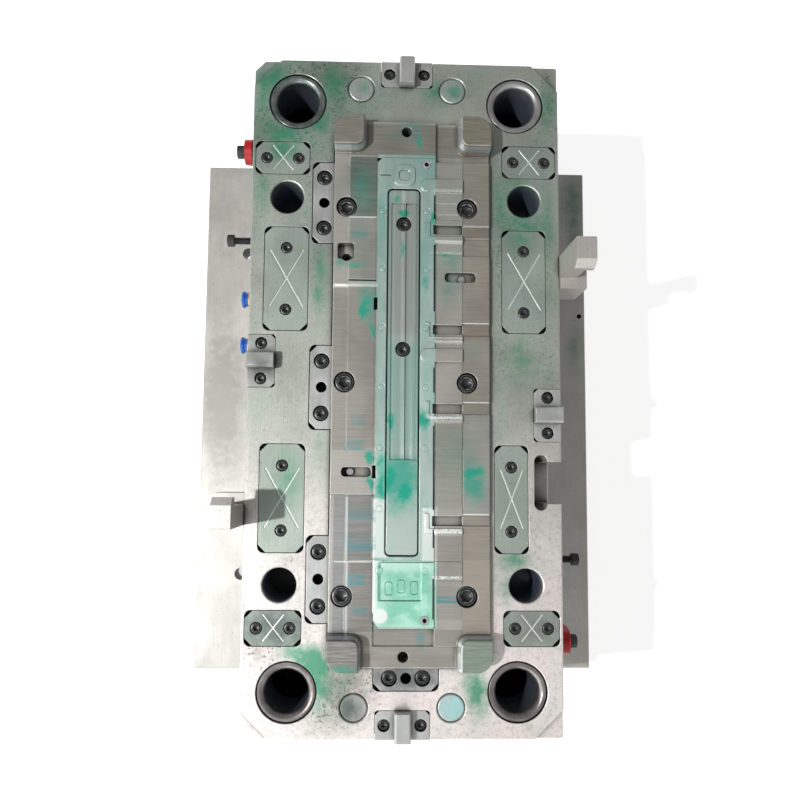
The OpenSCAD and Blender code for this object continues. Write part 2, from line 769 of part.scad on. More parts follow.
module wear_plate_screws() {
    color(black_steel) wear_plate_places(all_wear_plates) wear_screw_places($wx, $wy)
        cap_screw(6, wear_screw_l);
}

// A lock's frame: +Y points out of the plate's edge, z = 0 is the parting face
module lock_places(names) {
    for (name = names) {
        turn = name == "back" ? 0 : name == "front" ? 180 : name == "left" ? 90 : -90;
        along = name == "left" ? lock_side_y : name == "right" ? -lock_side_y : 0;
        edge = (name == "back" || name == "front") ? base_l / 2 : base_w / 2;
        translate([0, along, z_part]) rotate(turn) translate([0, edge, 0]) children();
    }
}

module lock_outline(chamfer) {
    polygon([
        [-lock_l / 2, 0], [-lock_l / 2, -lock_w + chamfer], [-lock_l / 2 + chamfer, -lock_w],
        [lock_l / 2 - chamfer, -lock_w], [lock_l / 2, -lock_w + chamfer], [lock_l / 2, 0]
    ]);
}

module lock_screw_places() {
    for (s = [-1, 1]) translate([s * lock_screw_pitch, -lock_screw_side, -8]) children();
}

module side_lock(name) {
    color(ground_steel) lock_places([name]) difference() {
        union() {
            translate([0, 0, -lock_depth]) linear_extrude(lock_depth) lock_outline(4);
            rotate([90, 0, 0]) linear_extrude(lock_w) polygon([
                [-tongue_w / 2, -1], [tongue_w / 2, -1], [tongue_w / 2, tongue_h - 2],
                [tongue_w / 2 - 1.5, tongue_h], [1.5 - tongue_w / 2, tongue_h], [-tongue_w / 2, tongue_h - 2]
            ]);
        }
        lock_screw_places() {
            cylinder(d = cbore_d(6), h = far);
            translate([0, 0, -far]) cylinder(r = 3 + through_gap, h = far + eps);
        }
        translate([-far / 2, -1, -lock_depth - 1]) rotate([-45, 0, 0]) cube([far, 2, 2]);
    }
}

module side_lock_screws() {
    color(black_steel) lock_places(["back", "front", "left", "right"]) lock_screw_places() cap_screw(6, 25);
}

// A hook's frame: +X points out of the plate's side, the hook lip points to -Y
module hook_places(sides) {
    for (s = sides) translate([s * base_w / 2, s * hook_y, z_part]) rotate(s > 0 ? 0 : 180) children();
}

// The screw frames of a hook foot: +Z points out of the side, z = 0 on the head's seat
module hook_screw_places() {
    for (z = hook_screw_zs) translate([hook_foot_d - hook_head_room, hook_screw_y, z])
        rotate([0, 90, 0]) children();
}

module hook(side) {
    bar_y0 = -hook_w / 2;
    bar_y1 = hook_w / 2 + hook_side;
    color(ground_steel) hook_places([side]) difference() {
        union() {
            translate([0, bar_y1 - hook_foot_w, hook_foot_top - hook_foot_h])
                cube([hook_foot_d, hook_foot_w, hook_foot_h]);
            rotate([90, 0, 90]) linear_extrude(hook_d) polygon([
                [bar_y0, hook_foot_top - 10], [bar_y1, hook_foot_top - 10],
                [bar_y1, hook_h - 1], [bar_y1 - 1, hook_h],
                [bar_y0 - 1, hook_h], [bar_y0 - hook_lip, hook_h - 9], [bar_y0 - hook_lip, hook_h - 17],
                [bar_y0, hook_h - 19]
            ]);
        }
        hook_screw_places() {
            cylinder(d = cbore_d(8), h = far);
            translate([0, 0, -far / 2]) cylinder(r = 4 + through_gap, h = far);
        }
    }
}

module hook_screws() {
    color(black_steel) hook_places([-1, 1]) hook_screw_places()
        cap_screw(8, hook_foot_d - hook_head_room + hook_screw_grip);
}

// A strap's frame: +Z points out of the plate's side and z = 0 lies on that side
module strap_places(sides) {
    for (s = sides) translate([s * base_w / 2, -s * strap_y, z_core_mid]) rotate([0, s * 90, 0])
        rotate(s > 0 ? 0 : 180) children();
}

module safety_strap(side) {
    color("firebrick") strap_places([side]) rotate(side < 0 ? -strap_lean : 0)
    translate([0, 0, strap_gap]) linear_extrude(strap_t) difference() {
        union() {
            circle(d = strap_w);
            translate([0, -strap_w / 2]) square([strap_pitch, strap_w]);
            translate([strap_pitch, 0]) circle(d = strap_w);
        }
        circle(r = 4 + running);
        translate([strap_pitch, 0]) circle(r = 4.5);
    }
}

module strap_screws() {
    seat = strap_gap + strap_t + strap_play;
    color(black_steel) strap_places([-1, 1]) translate([0, 0, seat]) cap_screw(8, seat + strap_screw_grip);
}

module strap_washers() {
    color(steel) strap_places([-1, 1]) difference() {
        cylinder(d = strap_washer_d, h = strap_gap - strap_play);
        translate([0, 0, -1]) cylinder(r = 4 + seat_gap, h = strap_gap + 2);
    }
}

module plate_cap_screws() {
    color(black_steel) for (x = [-spacer_x, spacer_x], y = cap_screw_y) translate([x, y, cap_screw_seat])
        mirror([0, 0, 1]) cap_screw(16, cap_screw_grip - cap_screw_seat);
}

module support_pillars() {
    color(ground_steel) for (p = pillar_places) translate([p[0], p[1], z_clamp]) difference() {
        cylinder(d = pillar_d, h = spacer_h);
        translate([0, 0, -1]) cylinder(r = 5 + seat_gap, h = pillar_screw_grip + 5);
    }
}

module pillar_screws() {
    color(black_steel) for (p = pillar_places) translate([p[0], p[1], pillar_screw_seat]) mirror([0, 0, 1])
        cap_screw(10, clamp_t - pillar_screw_seat + pillar_screw_grip);
}

module stop_buttons() {
    color(ground_steel) for (p = button_places) translate([p[0], p[1], z_clamp]) difference() {
        cylinder(d = button_d, h = button_h);
        translate([0, 0, -1]) cylinder(r = button_screw_d / 2 + through_gap, h = far);
        translate([0, 0, button_h - 3.5]) cylinder(d1 = button_screw_d, d2 = 13, h = 3.5 + eps);
    }
}

module button_screws() {
    color(black_steel) for (p = button_places) translate([p[0], p[1], z_clamp]) difference() {
        union() {
            translate([0, 0, -button_screw_l]) cylinder(d = button_screw_d, h = button_screw_l + button_h - 1);
            translate([0, 0, button_h - 3.5]) cylinder(d1 = button_screw_d, d2 = 11.2, h = 2.8);
        }
        translate([0, 0, button_h - 2.5]) cylinder(d = 4 / cos(30), h = 5, $fn = 6);
    }
}

module ejector_guide_pins() {
    color(ground_steel) at_corners(guide_pin_x, guide_pin_y) translate([0, 0, clamp_t - guide_pin_foot])
        cylinder(d = guide_pin_d, h = spacer_h + guide_pin_foot + guide_pin_tail);
}

module ejector_guide_bushes() {
    color("goldenrod") at_corners(guide_pin_x, guide_pin_y) difference() {
        translate([0, 0, z_base_plate + 1]) union() {
            cylinder(d = guide_bush_d, h = z_retainer_top - z_base_plate - 1);
            translate([0, 0, z_retainer - guide_flange - z_base_plate - 1])
                cylinder(r = guide_bush_d / 2 + guide_flange_side, h = guide_flange);
        }
        cylinder(r = guide_pin_d / 2 + running, h = far);
    }
}

module ejector_plate_holes() {
    for (p = pillar_places) translate(p) cylinder(d = pillar_d + 3, h = far);
    at_corners(guide_pin_x, guide_pin_y) {
        cylinder(r = guide_bush_d / 2 + seat_gap, h = far);
        translate([0, 0, z_retainer - guide_flange])
            cylinder(r = guide_bush_d / 2 + guide_flange_side + seat_gap, h = guide_flange);
    }
}

module ejector_base_plate() {
    color(steel) difference() {
        translate([0, 0, z_base_plate]) plate_block(ejector_w, ejector_l, ejector_base_t, plate_chamfer);
        ejector_plate_holes();
        for (p = ejector_screw_places) translate([p[0], p[1], z_base_plate + ejector_screw_seat])
            mirror([0, 0, 1]) screw_room(8, 1, ejector_base_t);
        for (p = ejector_screw_places) translate(p) cylinder(r = 4 + through_gap, h = far);
        translate([0, 0, z_base_plate - 1]) cylinder(d = rod_thread_d, h = rod_thread_depth + 1);
    }
}

module ejector_retainer_plate() {
    color(steel) difference() {
        translate([0, 0, z_retainer]) plate_block(ejector_w, ejector_l, retainer_t, plate_chamfer);
        ejector_plate_holes();
        for (p = ejector_screw_places) translate([p[0], p[1], 0]) cylinder(r = 4 + seat_gap, h = far);
        at_corners(return_x, return_y) {
            cylinder(r = return_d / 2 + seat_gap, h = far);
            cylinder(r = return_d / 2 + return_head_side + seat_gap, h = z_retainer + return_head_t);
        }
        for (x = ejector_x, y = ejector_rows) translate([x, y, 0]) pin_room(ejector_pin_d);
        for (p = puller_places) translate(p) pin_room(puller_pin_d);
        for (y = limiter_y) translate([0, y, z_retainer + 3]) cylinder(r = 4 + seat_gap, h = far);
    }
}

// Room for a headed pin in the retainer plate
module pin_room(d) {
    cylinder(r = d / 2 + seat_gap, h = far);
    cylinder(r = d / 2 + pin_head_side + seat_gap, h = z_retainer + pin_head_t);
}

// A headed pin that stands on the ejector base plate
module headed_pin(d, top, side, head_t) {
    translate([0, 0, z_retainer]) {
        cylinder(d = d, h = top - z_retainer);
        cylinder(r = d / 2 + side, h = head_t);
    }
}

module ejector_plate_screws() {
    color(black_steel) for (p = ejector_screw_places) translate([p[0], p[1], z_base_plate + ejector_screw_seat])
        mirror([0, 0, 1]) cap_screw(8, ejector_base_t - ejector_screw_seat + ejector_screw_grip);
}

module return_pins() {
    color(ground_steel) at_corners(return_x, return_y) difference() {
        headed_pin(return_d, z_part, return_head_side, return_head_t);
        translate([0, 0, z_part - 1]) difference() {
            cylinder(d = return_d + 5, h = 2);
            cylinder(d1 = return_d + 0.01, d2 = return_d - 4, h = 2);
        }
    }
}

module ejector_pins() {
    color(ground_steel) for (x = ejector_x, y = ejector_rows) translate([x, y, 0])
        headed_pin(ejector_pin_d, z_part + part_h, pin_head_side, pin_head_t);
}

module runner_puller_pins() {
    color(ground_steel) for (p = puller_places) translate(p)
        headed_pin(puller_pin_d, z_part + puller_pin_h, pin_head_side, pin_head_t);
}

module stroke_limiters() {
    color(ground_steel) for (y = limiter_y) translate([0, y, z_retainer_top]) difference() {
        cylinder(d = limiter_d, h = limiter_h);
        translate([0, 0, -1]) cylinder(r = 4 + through_gap, h = far);
        translate([0, 0, limiter_h - limiter_seat]) cylinder(d = cbore_d(8), h = far);
    }
}

module limiter_screws() {
    color(black_steel) for (y = limiter_y) translate([0, y, z_retainer_top + limiter_h - limiter_seat])
        cap_screw(8, limiter_h - limiter_seat + limiter_screw_grip);
}

// A coil spring of flat wire: the section is carried round the helix and closed at both ends
module coil(d, wire, turns, h) {
    steps = 12;
    n = turns * steps;
    wire_h = wire * 0.55;
    r_out = d / 2;
    r_in = d / 2 - wire;
    rise = (h - wire_h) / n;
    section = [[r_in, 0], [r_out, 0], [r_out, wire_h], [r_in, wire_h]];
    points = [for (i = [0:n], q = section)
        [q[0] * cos(360 * i / steps), q[0] * sin(360 * i / steps), q[1] + rise * i]];
    sides = [for (i = [0:n - 1], k = [0:3], half = [0, 1]) half == 0
        ? [4 * i + k, 4 * (i + 1) + k, 4 * (i + 1) + (k + 1) % 4]
        : [4 * i + k, 4 * (i + 1) + (k + 1) % 4, 4 * i + (k + 1) % 4]];
    ends = [[0, 1, 2, 3], [4 * n + 3, 4 * n + 2, 4 * n + 1, 4 * n]];
    polyhedron(points = points, faces = concat(sides, ends), convexity = 10);
}

module return_springs() {
    spring_h = z_support + spring_pocket - z_retainer_top - 0.4;
    color("royalblue") at_corners(return_x, return_y) translate([0, 0, z_retainer_top + 0.2])
        coil(spring_d, spring_wire, spring_turns, spring_h);
}

// One field of the insert's face: its corners in X and Y and its height above the parting face
module field(x0, x1, y0, y1, h) {
    translate([x0, y0, z_floor]) cube([x1 - x0, y1 - y0, pocket_depth + h]);
}

module ramp(x0, x1, y0, y1, front, back) {
    translate([x0, 0, z_part]) rotate([90, 0, 90]) linear_extrude(x1 - x0)
        polygon([[y0, -1], [y1, -1], [y1, back], [y0, front]]);
}

module part_face() {
    translate([part_x0, part_y0, z_part - 1]) linear_extrude(part_h + 1) difference() {
        square([part_w, part_l]);
        translate([0, part_l]) rotate(-45) square([7, 12], center = true);
        polygon([[-1, -1], [5.5, -1], [5.5, 0], [0, 7], [-1, 7]]);
    }
}

module tab(y) {
    translate([part_x1 - 8, y, z_part]) linear_extrude(part_h + part_rise) {
        translate([0, -6.2]) square([right_strip_x - part_x1 + 8, 12.4]);
        circle(6.2);
    }
}

// A corner heel: sloped walls on its two inner sides and a round top edge, drawn for the -X -Y corner
module heel() {
    h = heel_h - bench_h;
    hull() {
        linear_extrude(0.1) heel_outline(heel_slope);
        for (e = heel_edge) translate([0, 0, h - e[0] - 0.1]) linear_extrude(0.1)
            heel_outline(heel_slope * e[0] / h - e[1]);
    }
}

module heel_outline(grow) {
    x = heel_x + grow;
    y = heel_y + grow;
    r = heel_r + grow;
    square([x - r, y]);
    square([x, y - r]);
    translate([x - r, y - r]) circle(r);
}

module insert_solids() {
    field(insert_x0, insert_x1, -insert_y1, insert_y1, bench_h);
    for (f = fields) field(f[0], f[1], f[2], f[3], f[4]);
    for (r = ramps) ramp(r[0], r[1], r[2], r[3], r[4], r[5]);
    part_face();
    for (y = tab_ys) tab(y);
    for (y = rib_ys) {
        field(part_x1 - 9, right_strip_x, y - 7 - rib_wall, y - 7, part_h + part_rise);
        ramp(part_x1, right_strip_x, y - 9.5 - rib_wall, y - 7 - rib_wall, part_h - 1.2, part_h + part_rise);
        field(part_x1 - 9, part_x1 - 9 + rib_wall, y - 7 - rib_wall, y + 7, part_h + part_rise);
    }
    translate([button_place[0], button_place[1], z_part]) linear_extrude(part_h + part_rise)
        round_outline(button_size, button_size, 6);
    for (c = corners) translate([c[0] > 0 ? insert_x1 : insert_x0, c[1] * insert_y1, z_part + bench_h])
        mirror([c[0] > 0 ? 1 : 0, 0, 0]) mirror([0, c[1] > 0 ? 1 : 0, 0]) heel();
}

// A pocket from a floor height upwards: place and size across X and Y, corner radius
module face_pocket(p, h, r) {
    translate([p[0], p[1], z_part + h]) linear_extrude(far) round_outline(p[2], p[3], r);
}

module core_insert() {
    color(teal_steel) difference() {
        intersection() {
            insert_solids();
            translate([insert_shift, 0, 0]) linear_extrude(far) round_outline(insert_w, insert_l, insert_r);
        }
        translate([centre_x, centre_y, z_part - centre_seat]) linear_extrude(far)
            round_outline(centre_w, centre_l, centre_r);
        for (x = insert_screw_x, y = insert_screw_y) translate([x, y, insert_screw_seat]) {
            cylinder(d = cbore_d(12), h = far);
            translate([0, 0, -far]) cylinder(r = 6 + through_gap, h = far + eps);
        }
        for (y = centre_screw_y) translate([centre_x, y, centre_screw_seat - centre_screw_l - 1])
            cylinder(r = 4 + seat_gap, h = far);
        for (x = ejector_x, y = ejector_rows) translate([x, y, 0])
            cylinder(r = ejector_pin_d / 2 + running, h = far);
        for (p = puller_places) translate(p) cylinder(r = puller_pin_d / 2 + running, h = far);
        for (y = rib_ys) translate([part_x1 - 2, y - rib_w / 2, z_part + rib_floor - rib_depth])
            cube([right_strip_x - part_x1 + 2, rib_w, far]);
        for (r = slot_runs) translate([part_x1 - 1.4, r[0], z_part + 4]) cube([1.2, r[1] - r[0], far]);
        for (y = gate_ys) translate([part_x0 - 2, y - gate_l / 2, z_part - 4]) cube([gate_w, gate_l, far]);
        face_pocket(left_runner, 0, 3.5);
        face_pocket(runner_well, -3, 3.5);
        face_pocket(right_runner, 1, 4);
        face_pocket(square_pocket, -4, 3);
        translate([pocket_hole[0], pocket_hole[1], z_part - 24]) cylinder(d = jack_d, h = far);
        for (s = [-1, 1]) translate([0, s * end_hole_y, z_part - 20]) cylinder(d = jack_d, h = far);
        for (y = core_pin_ys) translate([core_pin_x, y, z_part - core_pin_foot - 1])
            cylinder(r = core_pin_d / 2 + seat_gap, h = far);
        face_pocket(label_panel, part_h - 0.5, 1);
        face_pocket([button_place[0], button_place[1], 11, 11], part_h - 0.4, 4);
        translate([part_x0 + 8.5, -163.5, z_part + part_h - 0.7]) cube([part_w, 1.8, far]);
        translate([-20, button_place[1], z_part + part_h - 1]) linear_extrude(far)
            square([10.5, 1.1], center = true);
    }
}

module core_pins() {
    h = core_pin_foot + part_h + 0.4;
    color(ground_steel) for (y = core_pin_ys) translate([core_pin_x, y, z_part - core_pin_foot]) difference() {
        cylinder(d = core_pin_d, h = h);
        translate([0, 0, h - 4]) cylinder(d = 4, h = far);
    }
}

// The centre core: a close fit in the insert below, an open groove round it above
module centre_core() {
    w = centre_w - 2 * centre_groove;
    top = z_part + part_h - 1.2;
    ribs_y0 = -68.7;
    ribs_y1 = centre_y + centre_l / 2 - 14;
    color(teal_steel) difference() {
        union() {
            translate([centre_x, centre_y, z_part - centre_seat])
                linear_extrude(centre_seat + part_h - centre_groove_depth)
                round_outline(centre_w, centre_l, centre_r);
            translate([centre_x, centre_y, z_part - centre_seat]) linear_extrude(centre_seat + part_h - 1.2)
                round_outline(w, centre_l - 2 * centre_groove, centre_r - centre_groove);
        }
        translate([centre_x, ribs_y1, top]) rotate([90, 0, 0]) linear_extrude(ribs_y1 - ribs_y0) polygon([
            [-w / 2 + 1, 2], [-w / 2 + 3.5, -1.2], [0.6, -1.2], [0.8, -0.2], [1.8, -0.2], [2.2, -1.8],
            [7.6, -1.8], [8.2, -0.9], [12.6, -0.9], [w / 2 - 1, 2]
        ]);
        for (y = centre_screw_y) translate([centre_x, y, centre_screw_seat]) {
            cylinder(d = 14.5, h = far);
            translate([0, 0, -far]) cylinder(r = 4 + through_gap, h = far + eps);
        }
    }
}

module core_insert_screws() {
    color(black_steel) for (x = insert_screw_x, y = insert_screw_y) translate([x, y, insert_screw_seat])
        cap_screw(12, insert_screw_l);
}

module centre_core_screws() {
    color(black_steel) for (y = centre_screw_y) translate([centre_x, y, centre_screw_seat])
        cap_screw(8, centre_screw_l);
}

// Push-in water fittings: the body screws into the plate and the collar ring caps it
module water_fittings() {
    color("goldenrod") for (y = fitting_ys) translate([-base_w / 2, y, z_support_mid]) rotate([0, -90, 0])
        difference() {
            union() {
                translate([0, 0, 2 - port_depth]) cylinder(r = port_r, h = port_depth - 1);
                cylinder(d = fitting_hex / cos(30), h = 7, $fn = 6);
                translate([0, 0, 6]) cylinder(d = fitting_d - 1, h = fitting_l - 6);
            }
            translate([0, 0, -port_depth]) cylinder(d = channel_d, h = far);
        }
}

module water_fitting_collars() {
    color("royalblue") for (y = fitting_ys) translate([-base_w / 2 - fitting_l, y, z_support_mid])
        rotate([0, -90, 0]) rotate_extrude() polygon([
            [4, 0], [fitting_d / 2 - 1.5, 0], [fitting_d / 2 - 1.5, 3], [fitting_d / 2, 4], [fitting_d / 2, 6],
            [fitting_d / 2 - 1, 7], [5, 7], [4, 6]
        ]);
}

clamp_plate();
spacer_block(-1);  // spacer_block_left
spacer_block(1);  // spacer_block_right
support_plate();
core_plate();
guide_bushes();
core_insert();
centre_core();
core_pins();
core_insert_screws();
centre_core_screws();
side_wedge(0);  // side_wedge_upper
side_wedge(1);  // side_wedge_middle
side_wedge(2);  // side_wedge_lower
end_wedge();
wedge_screws();
wear_plate(0);  // small_wear_plate_back_left
wear_plate(1);  // small_wear_plate_back_right
wear_plate(2);  // small_wear_plate_front_left
wear_plate(3);  // small_wear_plate_front_right
wear_plate(4);  // large_wear_plate_back_left
wear_plate(5);  // large_wear_plate_back_right
wear_plate(6);  // large_wear_plate_front_left
wear_plate(7);  // narrow_wear_plate_front_right
wear_plate_screws();
side_lock("back");  // side_lock_back
side_lock("front");  // side_lock_front
side_lock("left");  // side_lock_left
side_lock("right");  // side_lock_right
side_lock_screws();
hook(-1);  // hook_left
hook(1);  // hook_right
hook_screws();
safety_strap(-1);  // safety_strap_left
safety_strap(1);  // safety_strap_right
strap_screws();
strap_washers();
side_screws();
water_fittings();
water_fitting_collars();
plate_cap_screws();
support_pillars();
pillar_screws();
stop_buttons();
button_screws();
ejector_guide_pins();
ejector_guide_bushes();
ejector_base_plate();
ejector_retainer_plate();
ejector_plate_screws();
return_pins();
return_springs();
ejector_pins();
runner_puller_pins();
stroke_limiters();
limiter_screws();
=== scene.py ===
# The moving half of an injection mould, lying parting face up and seen almost straight down.
# It is put together from the press side up: the plates of the ejector box, the core plate with its
# bushes and wear plates, the core insert, then the locks, hooks, straps and fittings on its edges.
import math

import bmesh
import bpy
import numpy as np
from mathutils import Euler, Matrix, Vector


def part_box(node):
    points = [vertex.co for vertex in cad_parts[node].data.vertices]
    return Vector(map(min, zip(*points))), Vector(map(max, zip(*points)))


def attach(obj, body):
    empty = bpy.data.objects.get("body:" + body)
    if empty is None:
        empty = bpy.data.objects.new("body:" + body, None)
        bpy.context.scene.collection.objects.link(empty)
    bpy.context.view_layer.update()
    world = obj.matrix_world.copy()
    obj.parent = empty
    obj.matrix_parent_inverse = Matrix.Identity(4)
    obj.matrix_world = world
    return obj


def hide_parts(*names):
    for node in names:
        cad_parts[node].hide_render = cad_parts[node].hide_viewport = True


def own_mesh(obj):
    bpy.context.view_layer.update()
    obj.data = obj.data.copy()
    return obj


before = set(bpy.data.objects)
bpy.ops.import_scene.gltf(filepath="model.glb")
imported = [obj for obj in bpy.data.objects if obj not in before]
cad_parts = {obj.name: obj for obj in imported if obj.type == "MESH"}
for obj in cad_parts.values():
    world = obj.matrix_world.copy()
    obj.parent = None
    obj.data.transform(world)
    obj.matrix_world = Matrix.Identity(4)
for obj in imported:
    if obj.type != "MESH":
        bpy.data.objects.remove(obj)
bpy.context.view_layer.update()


# The camera and the light
# A hand-held camera about 1.1 m above the bench, leaning a few degrees towards the front end.
# A small far lamp high on the left casts the crisp shadows, and the room behind is bright in front.
camera_place = Vector((-0.0308, -0.0868, 1.1096))
camera_turn = Euler([math.radians(a) for a in (5.4628, -1.9744, 0.4537)])
camera_lens = 37.2066
camera_sensor = 36.0
photo_side = 800

lens = bpy.data.cameras.new("camera")
lens.lens = camera_lens
lens.sensor_width = camera_sensor
camera = bpy.data.objects.new("camera", lens)
camera.location = camera_place
camera.rotation_euler = camera_turn
lens.clip_start, lens.clip_end = 0.01, 50
bpy.context.scene.collection.objects.link(camera)
bpy.context.scene.camera = camera
bpy.context.scene.view_settings.view_transform = "Standard"


def window(name, place, size, power):
    """A square lamp at place, turned so that it faces the middle of the mould."""
    light = bpy.data.lights.new(name, "AREA")
    light.size = size
    light.energy = power
    lamp = bpy.data.objects.new(name, light)
    lamp.location = place
    lamp.rotation_euler = (Vector((0, 0, 0.3)) - Vector(place)).to_track_quat("-Z", "Y").to_euler()
    bpy.context.scene.collection.objects.link(lamp)


window("lamp", (-1.9, -0.45, 3.6), 0.12, 100)

room = bpy.data.worlds.new("room")
bpy.context.scene.world = room
room.use_nodes = True
nodes, links = room.node_tree.nodes, room.node_tree.links
nodes.clear()


def room_node(kind, **settings):
    """Adds one node to the room's background."""
    made = nodes.new(kind)
    for key, value in settings.items():
        setattr(made, key, value)
    return made


heading = room_node("ShaderNodeTexCoord")


def room_share(direction, low, high, bottom, top):
    """A value that runs smoothly from bottom to top as a ray turns towards direction."""
    toward = room_node("ShaderNodeVectorMath", operation="DOT_PRODUCT")
    toward.inputs[1].default_value = direction
    links.new(heading.outputs["Generated"], toward.inputs[0])
    fall = room_node("ShaderNodeMapRange", interpolation_type="SMOOTHSTEP")
    for key, value in (("From Min", low), ("From Max", high), ("To Min", bottom), ("To Max", top)):
        fall.inputs[key].default_value = value
    links.new(toward.outputs["Value"], fall.inputs["Value"])
    return fall.outputs["Result"]


# The room is brighter towards the front, so a flat plate runs from bright to dim, and low windows on
# the left and in front make a bright line of every edge that faces them.
overhead = room_share((-0.06, -0.85, 0.0), -0.13, 0.2, 0.3, 1.1)
windows = room_share((-0.71, -0.71, 0.0), 0.5, 0.74, 0.0, 3.2)
front = room_node("ShaderNodeMath", operation="ADD")
links.new(overhead, front.inputs[0])
links.new(windows, front.inputs[1])
path = room_node("ShaderNodeLightPath")
seen = room_node("ShaderNodeMath", operation="MAXIMUM")
links.new(path.outputs["Is Camera Ray"], seen.inputs[0])
links.new(path.outputs["Is Transmission Ray"], seen.inputs[1])
glossy = room_node("ShaderNodeMix", data_type="FLOAT")
glossy.inputs[2].default_value = 0.24
links.new(path.outputs["Is Glossy Ray"], glossy.inputs[0])
links.new(front.outputs[0], glossy.inputs[3])
level = room_node("ShaderNodeMix", data_type="FLOAT")
level.inputs[3].default_value = 1.0
links.new(seen.outputs[0], level.inputs[0])
links.new(glossy.outputs[0], level.inputs[2])
glow = room_node("ShaderNodeBackground")
links.new(level.outputs[0], glow.inputs["Strength"])
links.new(glow.outputs[0], room_node("ShaderNodeOutputWorld").inputs["Surface"])


# The bench top
# A plain white floor. It takes the mould's shadow and otherwise fades into the white room.
def grid_mesh(name, grids, material, smooth=40, closed=True):
    """A mesh from arrays of points, each rows by columns by XYZ. Columns close into a ring when
    closed is true, and rows whose points all meet make a pole."""
    points, faces, first = [], [], 0
    for grid in grids:
        rows, columns = grid.shape[:2]
        number = first + np.arange(rows * columns).reshape(rows, columns)
        beside = np.roll(number, -1, axis=1) if closed else number[:, 1:]
        here = number if closed else number[:, :-1]
        quads = np.stack([here[:-1], beside[:-1], beside[1:], here[1:]], axis=-1)
        faces.append(quads.reshape(-1, 4))
        points.append(grid.reshape(-1, 3))
        first += rows * columns
    mesh = bpy.data.meshes.new(name)
    mesh.from_pydata(np.concatenate(points).tolist(), [], np.concatenate(faces).tolist())
    shape = bmesh.new()
    shape.from_mesh(mesh)
    bmesh.ops.remove_doubles(shape, verts=shape.verts, dist=2e-6)
    bmesh.ops.dissolve_degenerate(shape, edges=shape.edges, dist=1e-7)
    shape.to_mesh(mesh)
    shape.free()
    if smooth:
        mesh.shade_smooth()
        mesh.set_sharp_from_angle(angle=math.radians(smooth))
    piece = bpy.data.objects.new(name, mesh)
    piece.data.materials.append(material)
    bpy.context.scene.collection.objects.link(piece)
    return piece


bench_white = bpy.data.materials.new("bench_white")
bench_white.use_nodes = True
tree = bench_white.node_tree
shader = tree.nodes["Principled BSDF"]
shader.inputs["Base Color"].default_value = (0.85, 0.85, 0.85, 1)
shader.inputs["Roughness"].default_value = 0.9
shader.inputs["Specular IOR Level"].default_value = 0.0
shader.inputs["Emission Color"].default_value = (1, 1, 1, 1)
path = tree.nodes.new("ShaderNodeLightPath")
seen = tree.nodes.new("ShaderNodeMath")
seen.operation = "MAXIMUM"
tree.links.new(path.outputs["Is Camera Ray"], seen.inputs[0])
glossy = tree.nodes.new("ShaderNodeMath")
glossy.operation = "MAXIMUM"
tree.links.new(path.outputs["Is Glossy Ray"], glossy.inputs[0])
tree.links.new(path.outputs["Is Transmission Ray"], glossy.inputs[1])
tree.links.new(glossy.outputs[0], seen.inputs[1])
share = tree.nodes.new("ShaderNodeMath")
share.operation = "MULTIPLY"
share.inputs[1].default_value = 0.76
tree.links.new(seen.outputs[0], share.inputs[0])
tree.links.new(share.outputs[0], shader.inputs["Emission Strength"])
span = np.linspace(-6, 6, 2)
flat = np.stack([*np.meshgrid(span, span, indexing="ij"), np.full((2, 2), -0.0005)], axis=-1)
bench = grid_mesh("bench", [flat], bench_white, smooth=0, closed=False)


# The press-side plates
# Clamp plate, spacer blocks and support plate are ground mild steel, and so are the two ejector
# plates between the blocks. Grinding leaves a fine grain along the mould, and use leaves dull
# stains, dark specks and a little spotting blue wiped over the edges.
def srgb(red, green, blue):
    """A screen colour of 0 to 255 as the linear light that a shader takes."""
    share = np.array([red, green, blue]) / 255
    linear = np.where(share <= 0.04045, share / 12.92, ((share + 0.055) / 1.055) ** 2.4)
    return (*linear.tolist(), 1.0)


